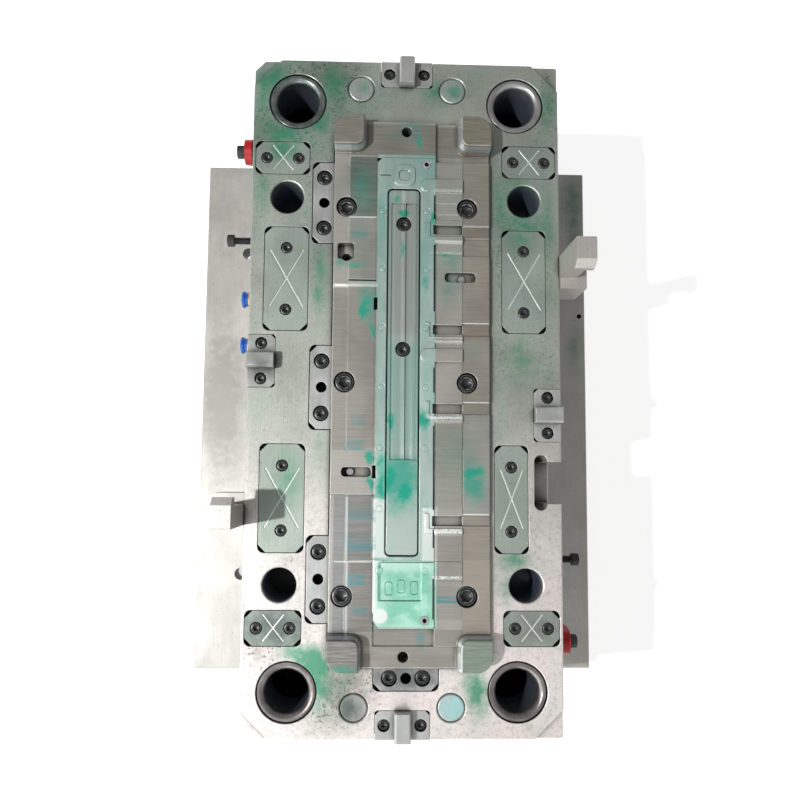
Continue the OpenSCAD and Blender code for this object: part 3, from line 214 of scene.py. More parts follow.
class Finish:
    """One surface finish. Colour, roughness and relief are laid on in coats over a Principled
    shader, and every pattern is worked out from the piece's own place in the mould."""

    def __init__(self, name, colour, roughness, metallic=0.55):
        self.material = bpy.data.materials.new(name)
        self.material.use_nodes = True
        self.tree = self.material.node_tree
        self.shader = self.tree.nodes["Principled BSDF"]
        self.shader.inputs["Metallic"].default_value = metallic
        self.shader.inputs["Roughness"].default_value = roughness
        self.shader.inputs["Base Color"].default_value = colour
        self.colour = colour
        self.roughness = roughness
        self.normal = None
        self.place = self.add("ShaderNodeTexCoord").outputs["Object"]

    def add(self, kind, inputs=None, **settings):
        """Adds a node, with its settings and its inputs, each a value or another node's socket."""
        made = self.tree.nodes.new(kind)
        for key, value in settings.items():
            setattr(made, key, value)
        for key, value in (inputs or {}).items():
            if isinstance(value, bpy.types.NodeSocket):
                self.tree.links.new(value, made.inputs[key])
            else:
                made.inputs[key].default_value = value
        return made

    def math(self, operation, a, b):
        return self.add("ShaderNodeMath", {0: a, 1: b}, operation=operation).outputs[0]

    def between(self, value, low, high, top=1.0):
        """Zero below low, top above high and smooth between them."""
        inputs = {"Value": value, "From Min": low, "From Max": high, "To Max": top}
        return self.add("ShaderNodeMapRange", inputs, interpolation_type="SMOOTHSTEP").outputs[0]

    def noise(self, size, low=0.35, high=0.65, top=1.0, stretch=(1, 1, 1), detail=4, shift=0.0):
        """Cloudy noise with spots about size metres across, drawn out along an axis by stretch."""
        scale = [1 / (size * s) for s in stretch]
        inputs = {"Vector": self.place, "Scale": scale, "Location": (shift, shift / 2, -shift)}
        spot = self.add("ShaderNodeMapping", inputs).outputs[0]
        inputs = {"Vector": spot, "Scale": 1.0, "Detail": detail, "Roughness": 0.6}
        cloud = self.add("ShaderNodeTexNoise", inputs).outputs[0]
        return self.between(cloud, low, high, top)

    def coat(self, mask, colour):
        """Lays colour over what is there, as far as the mask says."""
        mix = self.add("ShaderNodeMix", {0: mask, 6: self.colour, 7: colour}, data_type="RGBA")
        self.colour = mix.outputs[2]

    def wear(self, mask, roughness):
        """Makes the surface duller or brighter, as far as the mask says."""
        inputs = {0: mask, 2: self.roughness, 3: roughness}
        self.roughness = self.add("ShaderNodeMix", inputs, data_type="FLOAT").outputs[0]

    def relief(self, mask, depth):
        """Raises the surface by depth metres where the mask is one."""
        inputs = {"Height": mask, "Distance": depth, "Strength": 1.0}
        if self.normal is not None:
            inputs["Normal"] = self.normal
        self.normal = self.add("ShaderNodeBump", inputs).outputs[0]

    def round_edges(self, radius, shine=None):
        """Breaks every edge with a small radius, which then catches the light. Given shine, the edges are
        also coated with it and made glossier: bright edge wear and a painted highlight.
        """
        self.normal = self.add("ShaderNodeBevel", {"Radius": radius}, samples=4).outputs[0]
        if shine:
            true = self.add("ShaderNodeNewGeometry").outputs["True Normal"]
            inputs = {0: self.normal, 1: true}
            turn = self.add("ShaderNodeVectorMath", inputs, operation="DOT_PRODUCT").outputs["Value"]
            edge = self.between(self.math("SUBTRACT", 1.0, turn), 0.004, 0.06, 0.9)
            # Bright edge wear and painted highlight on the edges.
            self.coat(edge, shine)
            self.wear(edge, 0.2)

    def walls(self, low, colour, strength, roughness):
        """Polishes the steep walls above the height low, which a long cutter finished with its side, and
        paints a pale reflection on them as far as strength says.
        """
        true = self.add("ShaderNodeNewGeometry").outputs["True Normal"]
        upward = self.math("ABSOLUTE", self.add("ShaderNodeSeparateXYZ", {0: true}).outputs["Z"], 0.0)
        steep = self.math("SUBTRACT", 1.0, self.between(upward, 0.3, 0.7))
        height = self.add("ShaderNodeSeparateXYZ", {0: self.place}).outputs["Z"]
        steep = self.math("MULTIPLY", steep, self.between(height, low - 0.0002, low))
        self.wear(steep, roughness)
        self.coat(self.math("MULTIPLY", steep, strength), colour)

    def grime_and_shade(self, reach, colour=(0.006, 0.009, 0.008, 1), low=0.3, high=0.85, share=1.0):
        """Old oil and painted shade in gaps, corners and holes: dark where the surface is shut in by
        others within reach metres, as far as the share says."""
        inputs = {"Distance": reach}
        open_share = self.add("ShaderNodeAmbientOcclusion", inputs, samples=6).outputs["AO"]
        shut = self.math("SUBTRACT", 1.0, self.between(open_share, low, high))
        self.coat(self.math("MULTIPLY", shut, share), colour)

    def level(self, low, high, colour, fade=0.0001):
        """A coat on what lies between two heights, such as the floor of a shallow groove."""
        height = self.add("ShaderNodeSeparateXYZ", {0: self.place}).outputs["Z"]
        above = self.between(height, low - fade, low)
        below = self.between(height, high, high + fade)
        self.coat(self.math("SUBTRACT", above, below), colour)

    def inside(self, low, high, fade=0.0006):
        """One inside the box from corner low to corner high, and soft over fade outside it."""
        low, high = Vector(low), Vector(high)
        inputs = {0: self.place, 1: (low + high) / 2}
        off = self.add("ShaderNodeVectorMath", inputs, operation="SUBTRACT").outputs[0]
        off = self.add("ShaderNodeVectorMath", {0: off}, operation="ABSOLUTE").outputs[0]
        inputs = {0: off, 1: (high - low) / 2}
        off = self.add("ShaderNodeVectorMath", inputs, operation="SUBTRACT").outputs[0]
        sides = self.add("ShaderNodeSeparateXYZ", {0: off})
        widest = self.math("MAXIMUM", sides.outputs[1], sides.outputs[2])
        most = self.math("MAXIMUM", sides.outputs[0], widest)
        return self.math("SUBTRACT", 1.0, self.between(most, 0.0, fade))

    def ring(self, middle, radius, width):
        """One on a ring of that radius round the four mirrored middles, such as an oil-filled gap."""
        off = self.add("ShaderNodeVectorMath", {0: self.place}, operation="ABSOLUTE").outputs[0]
        off = self.add("ShaderNodeVectorMath", {0: off, 1: (*middle, 0)}, operation="SUBTRACT").outputs[0]
        off = self.add("ShaderNodeVectorMath", {0: off, 1: (1, 1, 0)}, operation="MULTIPLY").outputs[0]
        span = self.add("ShaderNodeVectorMath", {0: off}, operation="LENGTH").outputs["Value"]
        off = self.math("ABSOLUTE", self.math("SUBTRACT", span, radius), 0.0)
        return self.math("SUBTRACT", 1.0, self.between(off, width / 3, width / 2))

    def cloud(self, place, spots, reach):
        """The sum of soft balls, each given by its place and half sizes in metres and its strength."""
        total = 0.0
        for x, y, z, half_x, half_y, strength in spots:
            inputs = {"Vector": place, "Location": (x, y, z), "Scale": (half_x, half_y, reach)}
            centred = self.add("ShaderNodeMapping", inputs, vector_type="TEXTURE").outputs[0]
            ball = self.add("ShaderNodeTexGradient", {"Vector": centred}, gradient_type="SPHERICAL")
            inputs = {0: ball.outputs[1], 1: 2.0 * strength, 2: total}
            total = self.add("ShaderNodeMath", inputs, operation="MULTIPLY_ADD").outputs[0]
        return total

    def haze(self, spots, colour, reach, pepper=None):
        """A thin coat that fades softly, used for spotting blue, dried oil and painted shade, with dark
        specks in it when given.
        """
        total = self.cloud(self.place, spots, reach)
        uneven = self.math("ADD", self.noise(0.012, 0.25, 0.75, 0.7, detail=6), 0.6)
        soft = self.between(self.math("MULTIPLY", total, uneven), 0.0, 1.8, 0.9)
        self.coat(soft, colour)
        if pepper:
            specks = self.noise(0.0024, 0.56, 0.66, 0.75, detail=3, shift=30)
            near = self.between(total, 0.15, 0.9)
            self.coat(self.math("MULTIPLY", near, specks), pepper)

    def smears(self, spots, colour, reach, ragged=0.006):
        """Spotting blue dabbed on by hand. Each spot is its place and half sizes in metres and its
        strength; noise bends its outline and thins it, and reach limits it to near that height."""
        inputs = {"Vector": self.place, "Scale": 90.0, "Detail": 3.0}
        ruffle = self.add("ShaderNodeTexNoise", inputs).outputs["Color"]
        inputs = {0: ruffle, 1: (0.5, 0.5, 0.5)}
        ruffle = self.add("ShaderNodeVectorMath", inputs, operation="SUBTRACT").outputs[0]
        inputs = {0: ruffle, 1: (4 * ragged, 4 * ragged, 0), 2: self.place}
        bent = self.add("ShaderNodeVectorMath", inputs, operation="MULTIPLY_ADD").outputs[0]
        total = self.cloud(bent, spots, reach)
        broken = self.noise(0.004, 0.2, 0.6, 0.5, detail=6)
        mask = self.math("MULTIPLY", total, self.math("ADD", broken, 0.5))
        mask = self.add("ShaderNodeMath", {0: mask, 1: 0.92}, operation="MINIMUM").outputs[0]
        self.coat(mask, colour)
        self.wear(mask, 0.55)

    def done(self):
        """Joins the last coats to the shader and gives the material."""
        last = {"Base Color": self.colour, "Roughness": self.roughness, "Normal": self.normal}
        for key, value in last.items():
            if isinstance(value, bpy.types.NodeSocket):
                self.tree.links.new(value, self.shader.inputs[key])
        return self.material


def dress(material, *names):
    """Gives CAD nodes their finish."""
    for name in names:
        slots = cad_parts[name].data.materials
        slots.clear()
        slots.append(material)


def ground_grain(finish, light, dark):
    """The grain of a surface grinder: hair-fine lines along Y, cloudy stains and dark specks."""
    finish.coat(finish.noise(0.09, 0.35, 0.7, 0.55, detail=6), dark)
    finish.coat(finish.noise(0.03, 0.45, 0.75, 0.35, stretch=(1, 2.5, 1), detail=6, shift=3), light)
    finish.coat(finish.noise(0.0016, 0.3, 0.7, 0.22, stretch=(1, 40, 1), detail=3), dark)
    finish.coat(finish.noise(0.0022, 0.66, 0.72, 0.65, detail=2, shift=9), srgb(60, 66, 60))
    finish.wear(finish.noise(0.05, 0.3, 0.7, 1.0, detail=6, shift=5), 0.5)
    finish.relief(finish.noise(0.0009, 0.3, 0.7, 1.0, stretch=(1, 60, 1), detail=2), 0.00002)


parting_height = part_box("core_plate")[1].z


def on_face(px, py, height=parting_height):
    """The place in metres where the line of sight through a pixel of the photograph meets the
    level height: the pixel's offset from the middle over the lens, turned with the camera."""
    across = (px - photo_side / 2) / photo_side * camera_sensor / camera_lens
    up = (photo_side / 2 - py) / photo_side * camera_sensor / camera_lens
    sight = Vector((across, up, -1))
    sight.rotate(camera_turn)
    return camera_place + sight * ((height - camera_place.z) / sight.z)


metres_per_pixel = (camera_place.z - parting_height) * camera_sensor / camera_lens / photo_side


def dabs(marks, height=parting_height):
    """Smears from marks in the photograph's pixels: place, half width, half height and strength.
    Each is widened by half its size for the soft rim."""
    widened = 1.5 * metres_per_pixel
    spots = []
    for px, py, half_x, half_y, strength in marks:
        place = on_face(px, py, height)
        spots.append((place.x, place.y, height, half_x * widened, half_y * widened, strength))
    return spots


# Where the clamp plate is painted darker as shade, and where spotting blue is wiped over it, in pixels
clamp_shade_places = [(222, 400, 30, 110, 1.3), (222, 240, 26, 90, 0.3)]
clamp_dabs = [
    (572, 205, 18, 44, 0.7), (576, 265, 14, 50, 0.6), (574, 350, 12, 40, 0.5), (207, 200, 6, 40, 0.4),
]
clamp_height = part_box("clamp_plate")[1].z
clamp_reach = 0.03
mild_steel = Finish("mild_steel", srgb(196, 194, 188), 0.38)
mild_steel.round_edges(0.0008)
ground_grain(mild_steel, srgb(214, 212, 206), srgb(160, 160, 154))
# Painted shade down the middle of the clamp plate's left side.
mild_steel.haze(dabs(clamp_shade_places, clamp_height), srgb(152, 150, 144), clamp_reach)
mild_steel.haze(dabs(clamp_dabs, clamp_height), srgb(84, 130, 108), clamp_reach)
# Old oil and painted shade in gaps and corners, and broader painted shade between the plates.
mild_steel.grime_and_shade(0.02)
mild_steel.grime_and_shade(0.08, low=0.1, high=0.6)
dress(
    mild_steel.done(),
    "clamp_plate", "spacer_block_left", "spacer_block_right", "support_plate",
    "ejector_base_plate", "ejector_retainer_plate",
)


# The core plate
# The plate that the parting face lies on, ground all over. Spotting blue from the last fitting is
# still smeared round its corners, bushes and pins, and machine oil has dulled it in clouds.
# Every mark is its middle, half sizes and strength in the photograph's pixels: first dabs of blue
plate_dabs = [
    (275, 78, 16, 14, 0.9), (318, 122, 12, 14, 0.9), (283, 134, 20, 14, 0.9), (334, 84, 14, 22, 0.8),
    (262, 100, 10, 30, 0.5), (300, 60, 24, 10, 0.5), (375, 98, 22, 14, 0.35), (436, 92, 18, 14, 0.6),
    (547, 105, 10, 24, 0.6), (515, 185, 22, 14, 0.5), (522, 225, 22, 12, 0.8), (548, 215, 8, 40, 0.5),
    (500, 205, 8, 20, 0.5), (262, 187, 10, 26, 0.5), (300, 215, 20, 14, 0.3), (320, 268, 8, 36, 0.5),
    (318, 300, 8, 20, 0.3), (521, 358, 18, 30, 0.5), (549, 300, 8, 60, 0.3), (500, 420, 8, 30, 0.35),
    (312, 664, 14, 16, 1), (318, 685, 12, 22, 0.8), (296, 652, 20, 10, 0.7), (345, 685, 12, 14, 0.35),
    (300, 715, 30, 12, 0.2), (244, 606, 6, 14, 0.4), (294, 600, 8, 12, 0.35), (478, 695, 12, 22, 0.9),
    (468, 680, 10, 12, 0.4), (530, 728, 16, 8, 0.3), (506, 590, 8, 18, 0.55), (514, 560, 16, 12, 0.8),
    (320, 440, 8, 40, 0.3), (255, 440, 8, 60, 0.2),
]
# Where the same blue has been wiped into a thin film
plate_films = [
    (290, 105, 62, 52, 0.55), (355, 92, 44, 34, 0.39), (450, 95, 44, 30, 0.3), (545, 110, 22, 60, 0.44),
    (262, 170, 26, 60, 0.33), (310, 160, 30, 40, 0.33), (300, 215, 44, 40, 0.19), (520, 200, 44, 60, 0.33),
    (525, 265, 44, 44, 0.22), (318, 270, 14, 80, 0.33), (256, 300, 12, 90, 0.19), (500, 300, 12, 120, 0.22),
    (521, 365, 40, 40, 0.28), (549, 330, 12, 90, 0.22), (512, 565, 26, 26, 0.22), (478, 700, 26, 34, 0.28),
    (318, 690, 36, 44, 0.28), (320, 715, 24, 16, 0.17),
]
# Where machine oil has dried with dirt in it
oily_places = [
    (340, 690, 34, 34, 1), (325, 80, 34, 34, 1), (270, 130, 26, 26, 0.9), (548, 90, 8, 26, 0.7),
    (262, 655, 30, 24, 0.5), (300, 620, 34, 30, 0.3), (292, 560, 30, 30, 0.3),
]
plate_reach = 0.05
spotting_green = srgb(66, 150, 116)
hole_shade = srgb(104, 116, 134)
oil = srgb(14, 20, 18)
bush_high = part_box("guide_bushes")[1]
bush_head_radius, bush_radius = 0.030, 0.0275
bush_middle = (bush_high.x - bush_head_radius, bush_high.y - bush_head_radius)
puller_middle = (0.1155, 0.1855)
oil_gap = 0.0016
plate_steel = Finish("plate_steel", srgb(190, 190, 182), 0.36)
# Pale edges: bright wear and a painted highlight.
plate_steel.round_edges(0.0009, srgb(226, 228, 224))
ground_grain(plate_steel, srgb(208, 208, 202), srgb(150, 156, 146))
plate_steel.coat(plate_steel.noise(0.11, 0.4, 0.7, 0.35, detail=5, shift=20), srgb(140, 172, 158))
# Painted light: lighter and rosier towards the front, as the bright room in front lights it.
forward = plate_steel.add("ShaderNodeSeparateXYZ", {0: plate_steel.place}).outputs["Y"]
front_light = plate_steel.between(plate_steel.math("MULTIPLY", forward, -1.0), -0.02, 0.26, 0.8)
plate_steel.coat(front_light, srgb(244, 237, 233))
stained = plate_steel.noise(0.05, 0.5, 0.8, 0.35, detail=7, shift=70)
plate_steel.coat(stained, srgb(176, 178, 170))
# Darker and greener towards the back.
greener_back = plate_steel.between(forward, -0.05, 0.3, 0.2)
plate_steel.coat(greener_back, srgb(150, 166, 154))
rosy_front_light = plate_steel.math("MULTIPLY", front_light, plate_steel.noise(0.04, 0.42, 0.7, 1.0, detail=6, shift=90))
plate_steel.coat(rosy_front_light, srgb(246, 231, 229))
plate_steel.coat(plate_steel.noise(0.0045, 0.46, 0.74, 0.4, detail=8, shift=33), srgb(146, 148, 140))
plate_steel.coat(plate_steel.noise(0.0016, 0.5, 0.8, 0.5, detail=4, shift=40), srgb(112, 114, 106))
plate_steel.haze(dabs(oily_places), srgb(140, 140, 130), plate_reach, pepper=srgb(44, 52, 46))
plate_steel.haze(dabs(plate_films), srgb(118, 156, 136), plate_reach, pepper=srgb(70, 90, 78))
plate_steel.haze(dabs(plate_dabs), spotting_green, plate_reach)
# Painted shade deep in the bush and puller holes: a dark navy coat where they are shut in.
bush_holes = plate_steel.ring(bush_middle, 0.0, 0.07)
puller_holes = plate_steel.ring(puller_middle, 0.0, 0.058)
holes = plate_steel.math("MAXIMUM", bush_holes, puller_holes)
# Old oil and painted shade in gaps and corners.
plate_steel.grime_and_shade(0.012, low=0.4, high=0.9)
plate_steel.grime_and_shade(0.05, hole_shade, low=0.12, high=0.6, share=holes)
plate_steel.coat(plate_steel.ring(bush_middle, bush_radius, oil_gap), oil)
dress(plate_steel.done(), "core_plate")


# Pins, wedges and edge locks
# Hardened and ground steel, brighter than the plates. The pins fit their holes closely, and each
# wedge and each lock is held by two cap screws.
# Thin films of blue and oil on them: the marks in the photograph's pixels, and the colour
hard_films = [
    ([(454, 92, 13, 13, 0.8), (364, 88, 13, 13, 0.5)], srgb(96, 168, 136)),
    ([(261, 360, 22, 34, 1)], srgb(128, 134, 126)),
    ([(452, 708, 15, 15, 1)], srgb(176, 226, 224)),
    ([(350, 708, 15, 15, 1)], srgb(90, 104, 98)),
    ([(405, 677, 40, 16, 1)], srgb(104, 108, 108)),
]
hard_steel = Finish("hard_steel", srgb(200, 201, 198), 0.3)
hard_steel.round_edges(0.0008)
hard_steel.coat(hard_steel.noise(0.02, 0.4, 0.7, 0.4, detail=6), srgb(160, 164, 160))
hard_grain = hard_steel.noise(0.0015, 0.3, 0.7, 0.2, stretch=(1, 20, 1), detail=3)
hard_steel.coat(hard_grain, srgb(140, 142, 140))
hard_steel.wear(hard_steel.noise(0.03, 0.3, 0.7, 1.0, detail=5, shift=5), 0.42)
for marks, tone in hard_films:
    hard_steel.haze(dabs(marks), tone, plate_reach)
# Old oil and painted shade in gaps and corners.
hard_steel.grime_and_shade(0.012)
dress(
    hard_steel.done(),
    "return_pins", "runner_puller_pins", "core_pins",
    "side_wedge_upper", "side_wedge_middle", "side_wedge_lower", "end_wedge",
    "side_lock_back", "side_lock_front", "side_lock_left", "side_lock_right",
    "support_pillars", "stop_buttons", "ejector_guide_pins", "stroke_limiters", "strap_washers",
)


# The guide bushes
# Turned and hardened sleeves pressed into the four corners of the core plate. Their bell mouths are
# duller and browner than the other steels, and greenish with blue at the back left.
# The two front bell mouths are darker and browner, and the back left one greenish.
bush_tones = [
    ([(290, 693, 60, 60, 1), (517, 693, 60, 60, 1)], srgb(112, 104, 100)),
    ([(298, 103, 50, 50, 1)], srgb(74, 90, 84)),
]
bush_steel = Finish("bush_steel", srgb(168, 168, 166), 0.3)
bush_steel.round_edges(0.0008)
bush_steel.coat(bush_steel.noise(0.012, 0.4, 0.7, 0.5, detail=6), srgb(126, 128, 126))
for marks, tone in bush_tones:
    bush_steel.haze(dabs(marks), tone, plate_reach)
# Old oil and painted shade in the gaps round the bushes.
bush_steel.grime_and_shade(0.008)
# Painted shade deep in the bores.
bush_steel.grime_and_shade(0.06, hole_shade, low=0.1, high=0.55)
dress(bush_steel.done(), "guide_bushes")


# The wear plates
# Hardened plates that the cavity half slides and rests on, ground and screwed into milled pockets.
# Crossed grooves hold the oil, and their floors carry a painted highlight that shows as a white X.
wear_films = [
    ([(285, 150, 16, 14, 0.9), (288, 478, 14, 30, 0.6), (521, 238, 18, 20, 0.6)], spotting_green),
    ([(274, 629, 40, 24, 1)], srgb(92, 100, 98)),
    ([(532, 629, 40, 24, 0.7)], srgb(128, 130, 124)),
]
groove_floor, groove_edge = parting_height - 0.001, parting_height - 0.0004
wear_steel = Finish("wear_steel", srgb(166, 178, 168), 0.36)
wear_steel.round_edges(0.0006)
ground_grain(wear_steel, srgb(190, 196, 188), srgb(140, 150, 140))
for marks, tone in wear_films:
    wear_steel.haze(dabs(marks), tone, plate_reach)
# Old oil and painted shade in gaps and corners.
wear_steel.grime_and_shade(0.003)
# Painted highlight on the grooves' floors.
wear_steel.level(groove_floor, groove_edge, srgb(226, 232, 226))
dress(
    wear_steel.done(),
    "small_wear_plate_back_left", "small_wear_plate_back_right",
    "small_wear_plate_front_left", "small_wear_plate_front_right",
    "large_wear_plate_back_left", "large_wear_plate_back_right",
    "large_wear_plate_front_left", "narrow_wear_plate_front_right",
)


# The hooks
# Two tall hooks milled from flat bar and hardened, each held to the core plate's side by cap screws.
# They are paler and a little browner than the plates.
hook_steel = Finish("hook_steel", srgb(202, 197, 192), 0.4)
hook_steel.round_edges(0.0008)
ground_grain(hook_steel, srgb(214, 210, 204), srgb(166, 160, 154))
dress(hook_steel.done(), "hook_left", "hook_right")


# The core insert
# One block of mould steel whose face carries the part's core and the stepped shut-off faces round
# it. The cutter has left fine lines across it, and teal spotting blue marks where it was checked.
insert_dabs = [
    (368, 302, 9, 17, 0.5), (363, 312, 4, 10, 0.5), (372, 330, 3, 8, 0.7),
    (356, 265, 12, 3, 0.5), (340, 262, 4, 6, 0.4),
    (370, 457, 4, 6, 0.8), (370, 483, 3, 8, 0.9), (380, 463, 4, 6, 0.5), (381, 486, 4, 12, 0.7),
    (420, 141, 3, 8, 0.6), (342, 666, 12, 3, 0.45), (475, 472, 9, 5, 0.8), (467, 482, 3, 12, 0.5),
    (425, 282, 4, 8, 0.4), (424, 420, 5, 9, 0.9), (434, 217, 3, 6, 0.8), (445, 256, 8, 2, 0.5),
]
insert_hazes = [
    (476, 484, 12, 20, 0.9), (470, 450, 14, 26, 0.35), (448, 455, 14, 30, 0.3), (363, 190, 16, 30, 0.5),
    (412, 124, 18, 6, 0.5), (398, 137, 14, 8, 0.3), (448, 290, 14, 30, 0.35), (473, 350, 12, 12, 0.3),
    (360, 234, 14, 8, 0.35), (485, 655, 12, 10, 0.3), (452, 262, 14, 10, 0.4),
]
# Brush strokes of spotting blue: left, top, right and bottom in the photograph's pixels
strokes = [
    (348, 509, 374, 513, 0.4), (350, 515, 374, 520, 0.45), (346, 538, 374, 543, 0.5),
    (348, 545, 374, 550, 0.55), (348, 576, 363, 584, 0.75), (354, 609, 365, 613, 0.6),
    (352, 416, 364, 424, 0.45), (346, 441, 363, 449, 0.5), (438, 598, 459, 602, 0.7),
    (418, 634, 423, 648, 0.5), (352, 232, 366, 236, 0.4), (413, 127, 418, 141, 0.4),
]
# Painted highlights along the step noses, and bands of short scratches, in the same pixels
step_highlights = [
    (463, 225.8, 489, 227, 0.9), (463, 323, 489, 324.2, 0.9), (463, 402, 489, 403.4, 0.9),
    (463, 514, 489, 515.4, 0.9), (335, 284, 377, 286.4, 0.7), (350, 217, 377, 217.8, 0.6),
    (346.2, 497, 346.8, 561, 0.45), (345.8, 563, 346.4, 636, 0.45), (334, 561.4, 374, 562.6, 0.7),
    (463, 238, 489, 238.7, 0.4), (463, 450, 463.6, 508, 0.3), (424, 520, 436, 521, 0.5),
]
scratched_bands = [
    (424, 415, 462, 419, 1.0), (426, 528, 462, 533, 1.0), (432, 576.6, 462, 579, 1.0),
    (434, 190, 462, 194, 0.5), (430, 252, 462, 254, 0.4), (430, 337, 462, 339, 0.5),
]
# The heels' tops: side along X, end along Y and tone
heel_tones = [
    (-1, 1, srgb(142, 138, 126)), (1, 1, srgb(138, 134, 116)),
    (-1, -1, srgb(112, 110, 106)), (1, -1, srgb(122, 144, 126)),
]
# Tones of the stepped faces, in the photograph's pixels, each from its own pass of the cutter
face_tones = [
    (352, 124, 468, 157, srgb(112, 114, 100), 0.6), (351, 157, 377, 216, srgb(78, 98, 86), 0.85),
    (350, 218, 377, 282, srgb(128, 138, 132), 0.5), (334, 287, 377, 448, srgb(142, 136, 128), 0.6),
    (349, 495, 374, 560, srgb(104, 108, 108), 0.75), (334, 495, 348, 650, srgb(118, 124, 130), 0.7),
    (350, 562, 373, 632, srgb(112, 110, 106), 0.75), (348, 630, 462, 668, srgb(132, 130, 120), 0.6),
    (437, 160, 462, 300, srgb(166, 174, 164), 0.5), (463, 150, 490, 226, srgb(144, 136, 120), 0.6),
    (463, 226, 490, 240, srgb(128, 114, 96), 0.7), (463, 240, 490, 323, srgb(150, 140, 124), 0.6),
    (463, 323, 490, 340, srgb(132, 118, 98), 0.7), (463, 340, 490, 402, srgb(150, 142, 128), 0.6),
    (463, 402, 490, 414, srgb(136, 128, 112), 0.7), (463, 414, 490, 514, srgb(154, 158, 152), 0.5),
    (463, 514, 490, 560, srgb(144, 132, 118), 0.6), (463, 560, 490, 636, srgb(166, 152, 136), 0.6),
    (437, 420, 462, 508, srgb(146, 152, 140), 0.5), (437, 530, 462, 620, srgb(140, 138, 132), 0.5),
]
# The sides of the part's face and the disc wiped clean in its front left corner, in the same pixels
part_sides = (376, 155, 435, 628)
part_middle = 400
wiped_disc = [(380, 616, 7, 7, 1)]
face_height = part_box("centre_core")[1].z
insert_reach = 0.06
spotting_teal = srgb(24, 158, 134)
stroke_teal = srgb(70, 146, 152)
insert_steel = Finish("insert_steel", srgb(176, 174, 166), 0.36)
# Pale edges: bright wear and a painted highlight.
insert_steel.round_edges(0.0012, srgb(240, 242, 240))
scratches = insert_steel.noise(0.0012, 0.4, 0.5, 1.0, stretch=(1, 2, 1), detail=4, shift=60)


def patch(finish, left, top, right, bottom, colour, strength, fade=0.0006):
    """A coat over the part's face between four sides given in the photograph's pixels. The
    strength is a number or a mask."""
    high_left, low_right = on_face(left, top, face_height), on_face(right, bottom, face_height)
    low = (high_left.x, low_right.y, parting_height - 0.010)
    high = (low_right.x, high_left.y, parting_height + 0.012)
    finish.coat(finish.math("MULTIPLY", finish.inside(low, high, fade), strength), colour)


for left, top, right, bottom, tone, strength in face_tones:
    patch(insert_steel, left, top, right, bottom, tone, strength)
insert_steel.coat(insert_steel.noise(0.06, 0.35, 0.7, 0.35, detail=6), srgb(140, 136, 128))
light_lines = insert_steel.noise(0.0022, 0.35, 0.7, 0.2, stretch=(16, 1, 1), detail=3)
insert_steel.coat(light_lines, srgb(190, 190, 184))
dark_lines = insert_steel.noise(0.0014, 0.45, 0.7, 0.1, stretch=(30, 1, 1), detail=3, shift=7)
insert_steel.coat(dark_lines, srgb(104, 104, 98))
insert_steel.wear(insert_steel.noise(0.04, 0.3, 0.7, 1.0, detail=5, shift=5), 0.48)
insert_steel.relief(insert_steel.noise(0.0012, 0.3, 0.7, 1.0, stretch=(40, 1, 1), detail=2), 0.000006)
insert_steel.haze(dabs(insert_hazes, face_height), srgb(70, 160, 140), insert_reach)
left, top, right, bottom = part_sides
part_left, part_right = (on_face(px, part_middle, face_height).x for px in (left, right))
part_back, part_front = (on_face(part_middle, py, face_height).y for py in (top, bottom))
low = (part_left, part_front, parting_height + 0.0080)
high = (part_right, part_back, parting_height + 0.0115)
part_mask = insert_steel.inside(low, high, fade=0.0003)
insert_steel.coat(insert_steel.math("MULTIPLY", part_mask, 0.8), srgb(192, 212, 206))
mint_cloud = insert_steel.noise(0.035, 0.35, 0.68, 0.7, stretch=(1, 3, 1), detail=6, shift=11)
insert_steel.coat(insert_steel.math("MULTIPLY", part_mask, mint_cloud), srgb(118, 178, 164))
label_mint = srgb(132, 204, 176)
label_white = srgb(236, 243, 238)
label_cloud = insert_steel.noise(0.012, 0.4, 0.7, 0.8, detail=6, shift=25)
# The mint and white fields at the part's front end: sides, colour, strength and soft margin
front_fields = [
    (374, 500, 386, 556, label_white, 0.75, 0.003), (424, 510, 434, 560, label_white, 0.75, 0.004),
    (381, 455, 386, 497, srgb(120, 200, 180), 0.7, 0.003),
    (374, 561, 436, 627, srgb(194, 232, 216), 0.9, 0.0004), (386, 576, 428, 620, label_mint, 0.9, 0.009),
    (377, 564, 434, 625, srgb(190, 236, 220), label_cloud, 0.002),
    (376, 566, 379, 600, label_mint, 0.8, 0.002), (373, 561, 376, 612, label_white, 0.8, 0.0012),
]
for left, top, right, bottom, tone, strength, fade in front_fields:
    patch(insert_steel, left, top, right, bottom, tone, strength, fade)
wiped_clean = insert_steel.cloud(insert_steel.place, dabs(wiped_disc, face_height), insert_reach)
wiped_clean = insert_steel.math("MULTIPLY", insert_steel.between(wiped_clean, 0.4, 0.9), part_mask)
insert_steel.coat(wiped_clean, label_white)
hairs = insert_steel.noise(0.0014, 0.35, 0.62, 1.2, stretch=(40, 1, 1), detail=3, shift=50)
for left, top, right, bottom, strength in strokes:
    streaky = insert_steel.math("MULTIPLY", hairs, strength)
    patch(insert_steel, left, top, right, bottom, stroke_teal, streaky, 0.0026)
# Painted highlights: thin near-white lines along the step noses.
for left, top, right, bottom, strength in step_highlights:
    patch(insert_steel, left, top, right, bottom, srgb(240, 242, 238), strength, 0.0004)
for left, top, right, bottom, strength in scratched_bands:
    scratched = insert_steel.math("MULTIPLY", scratches, strength)
    patch(insert_steel, left, top, right, bottom, srgb(238, 244, 240), scratched, 0.0008)
wall_foot = parting_height + 0.0125
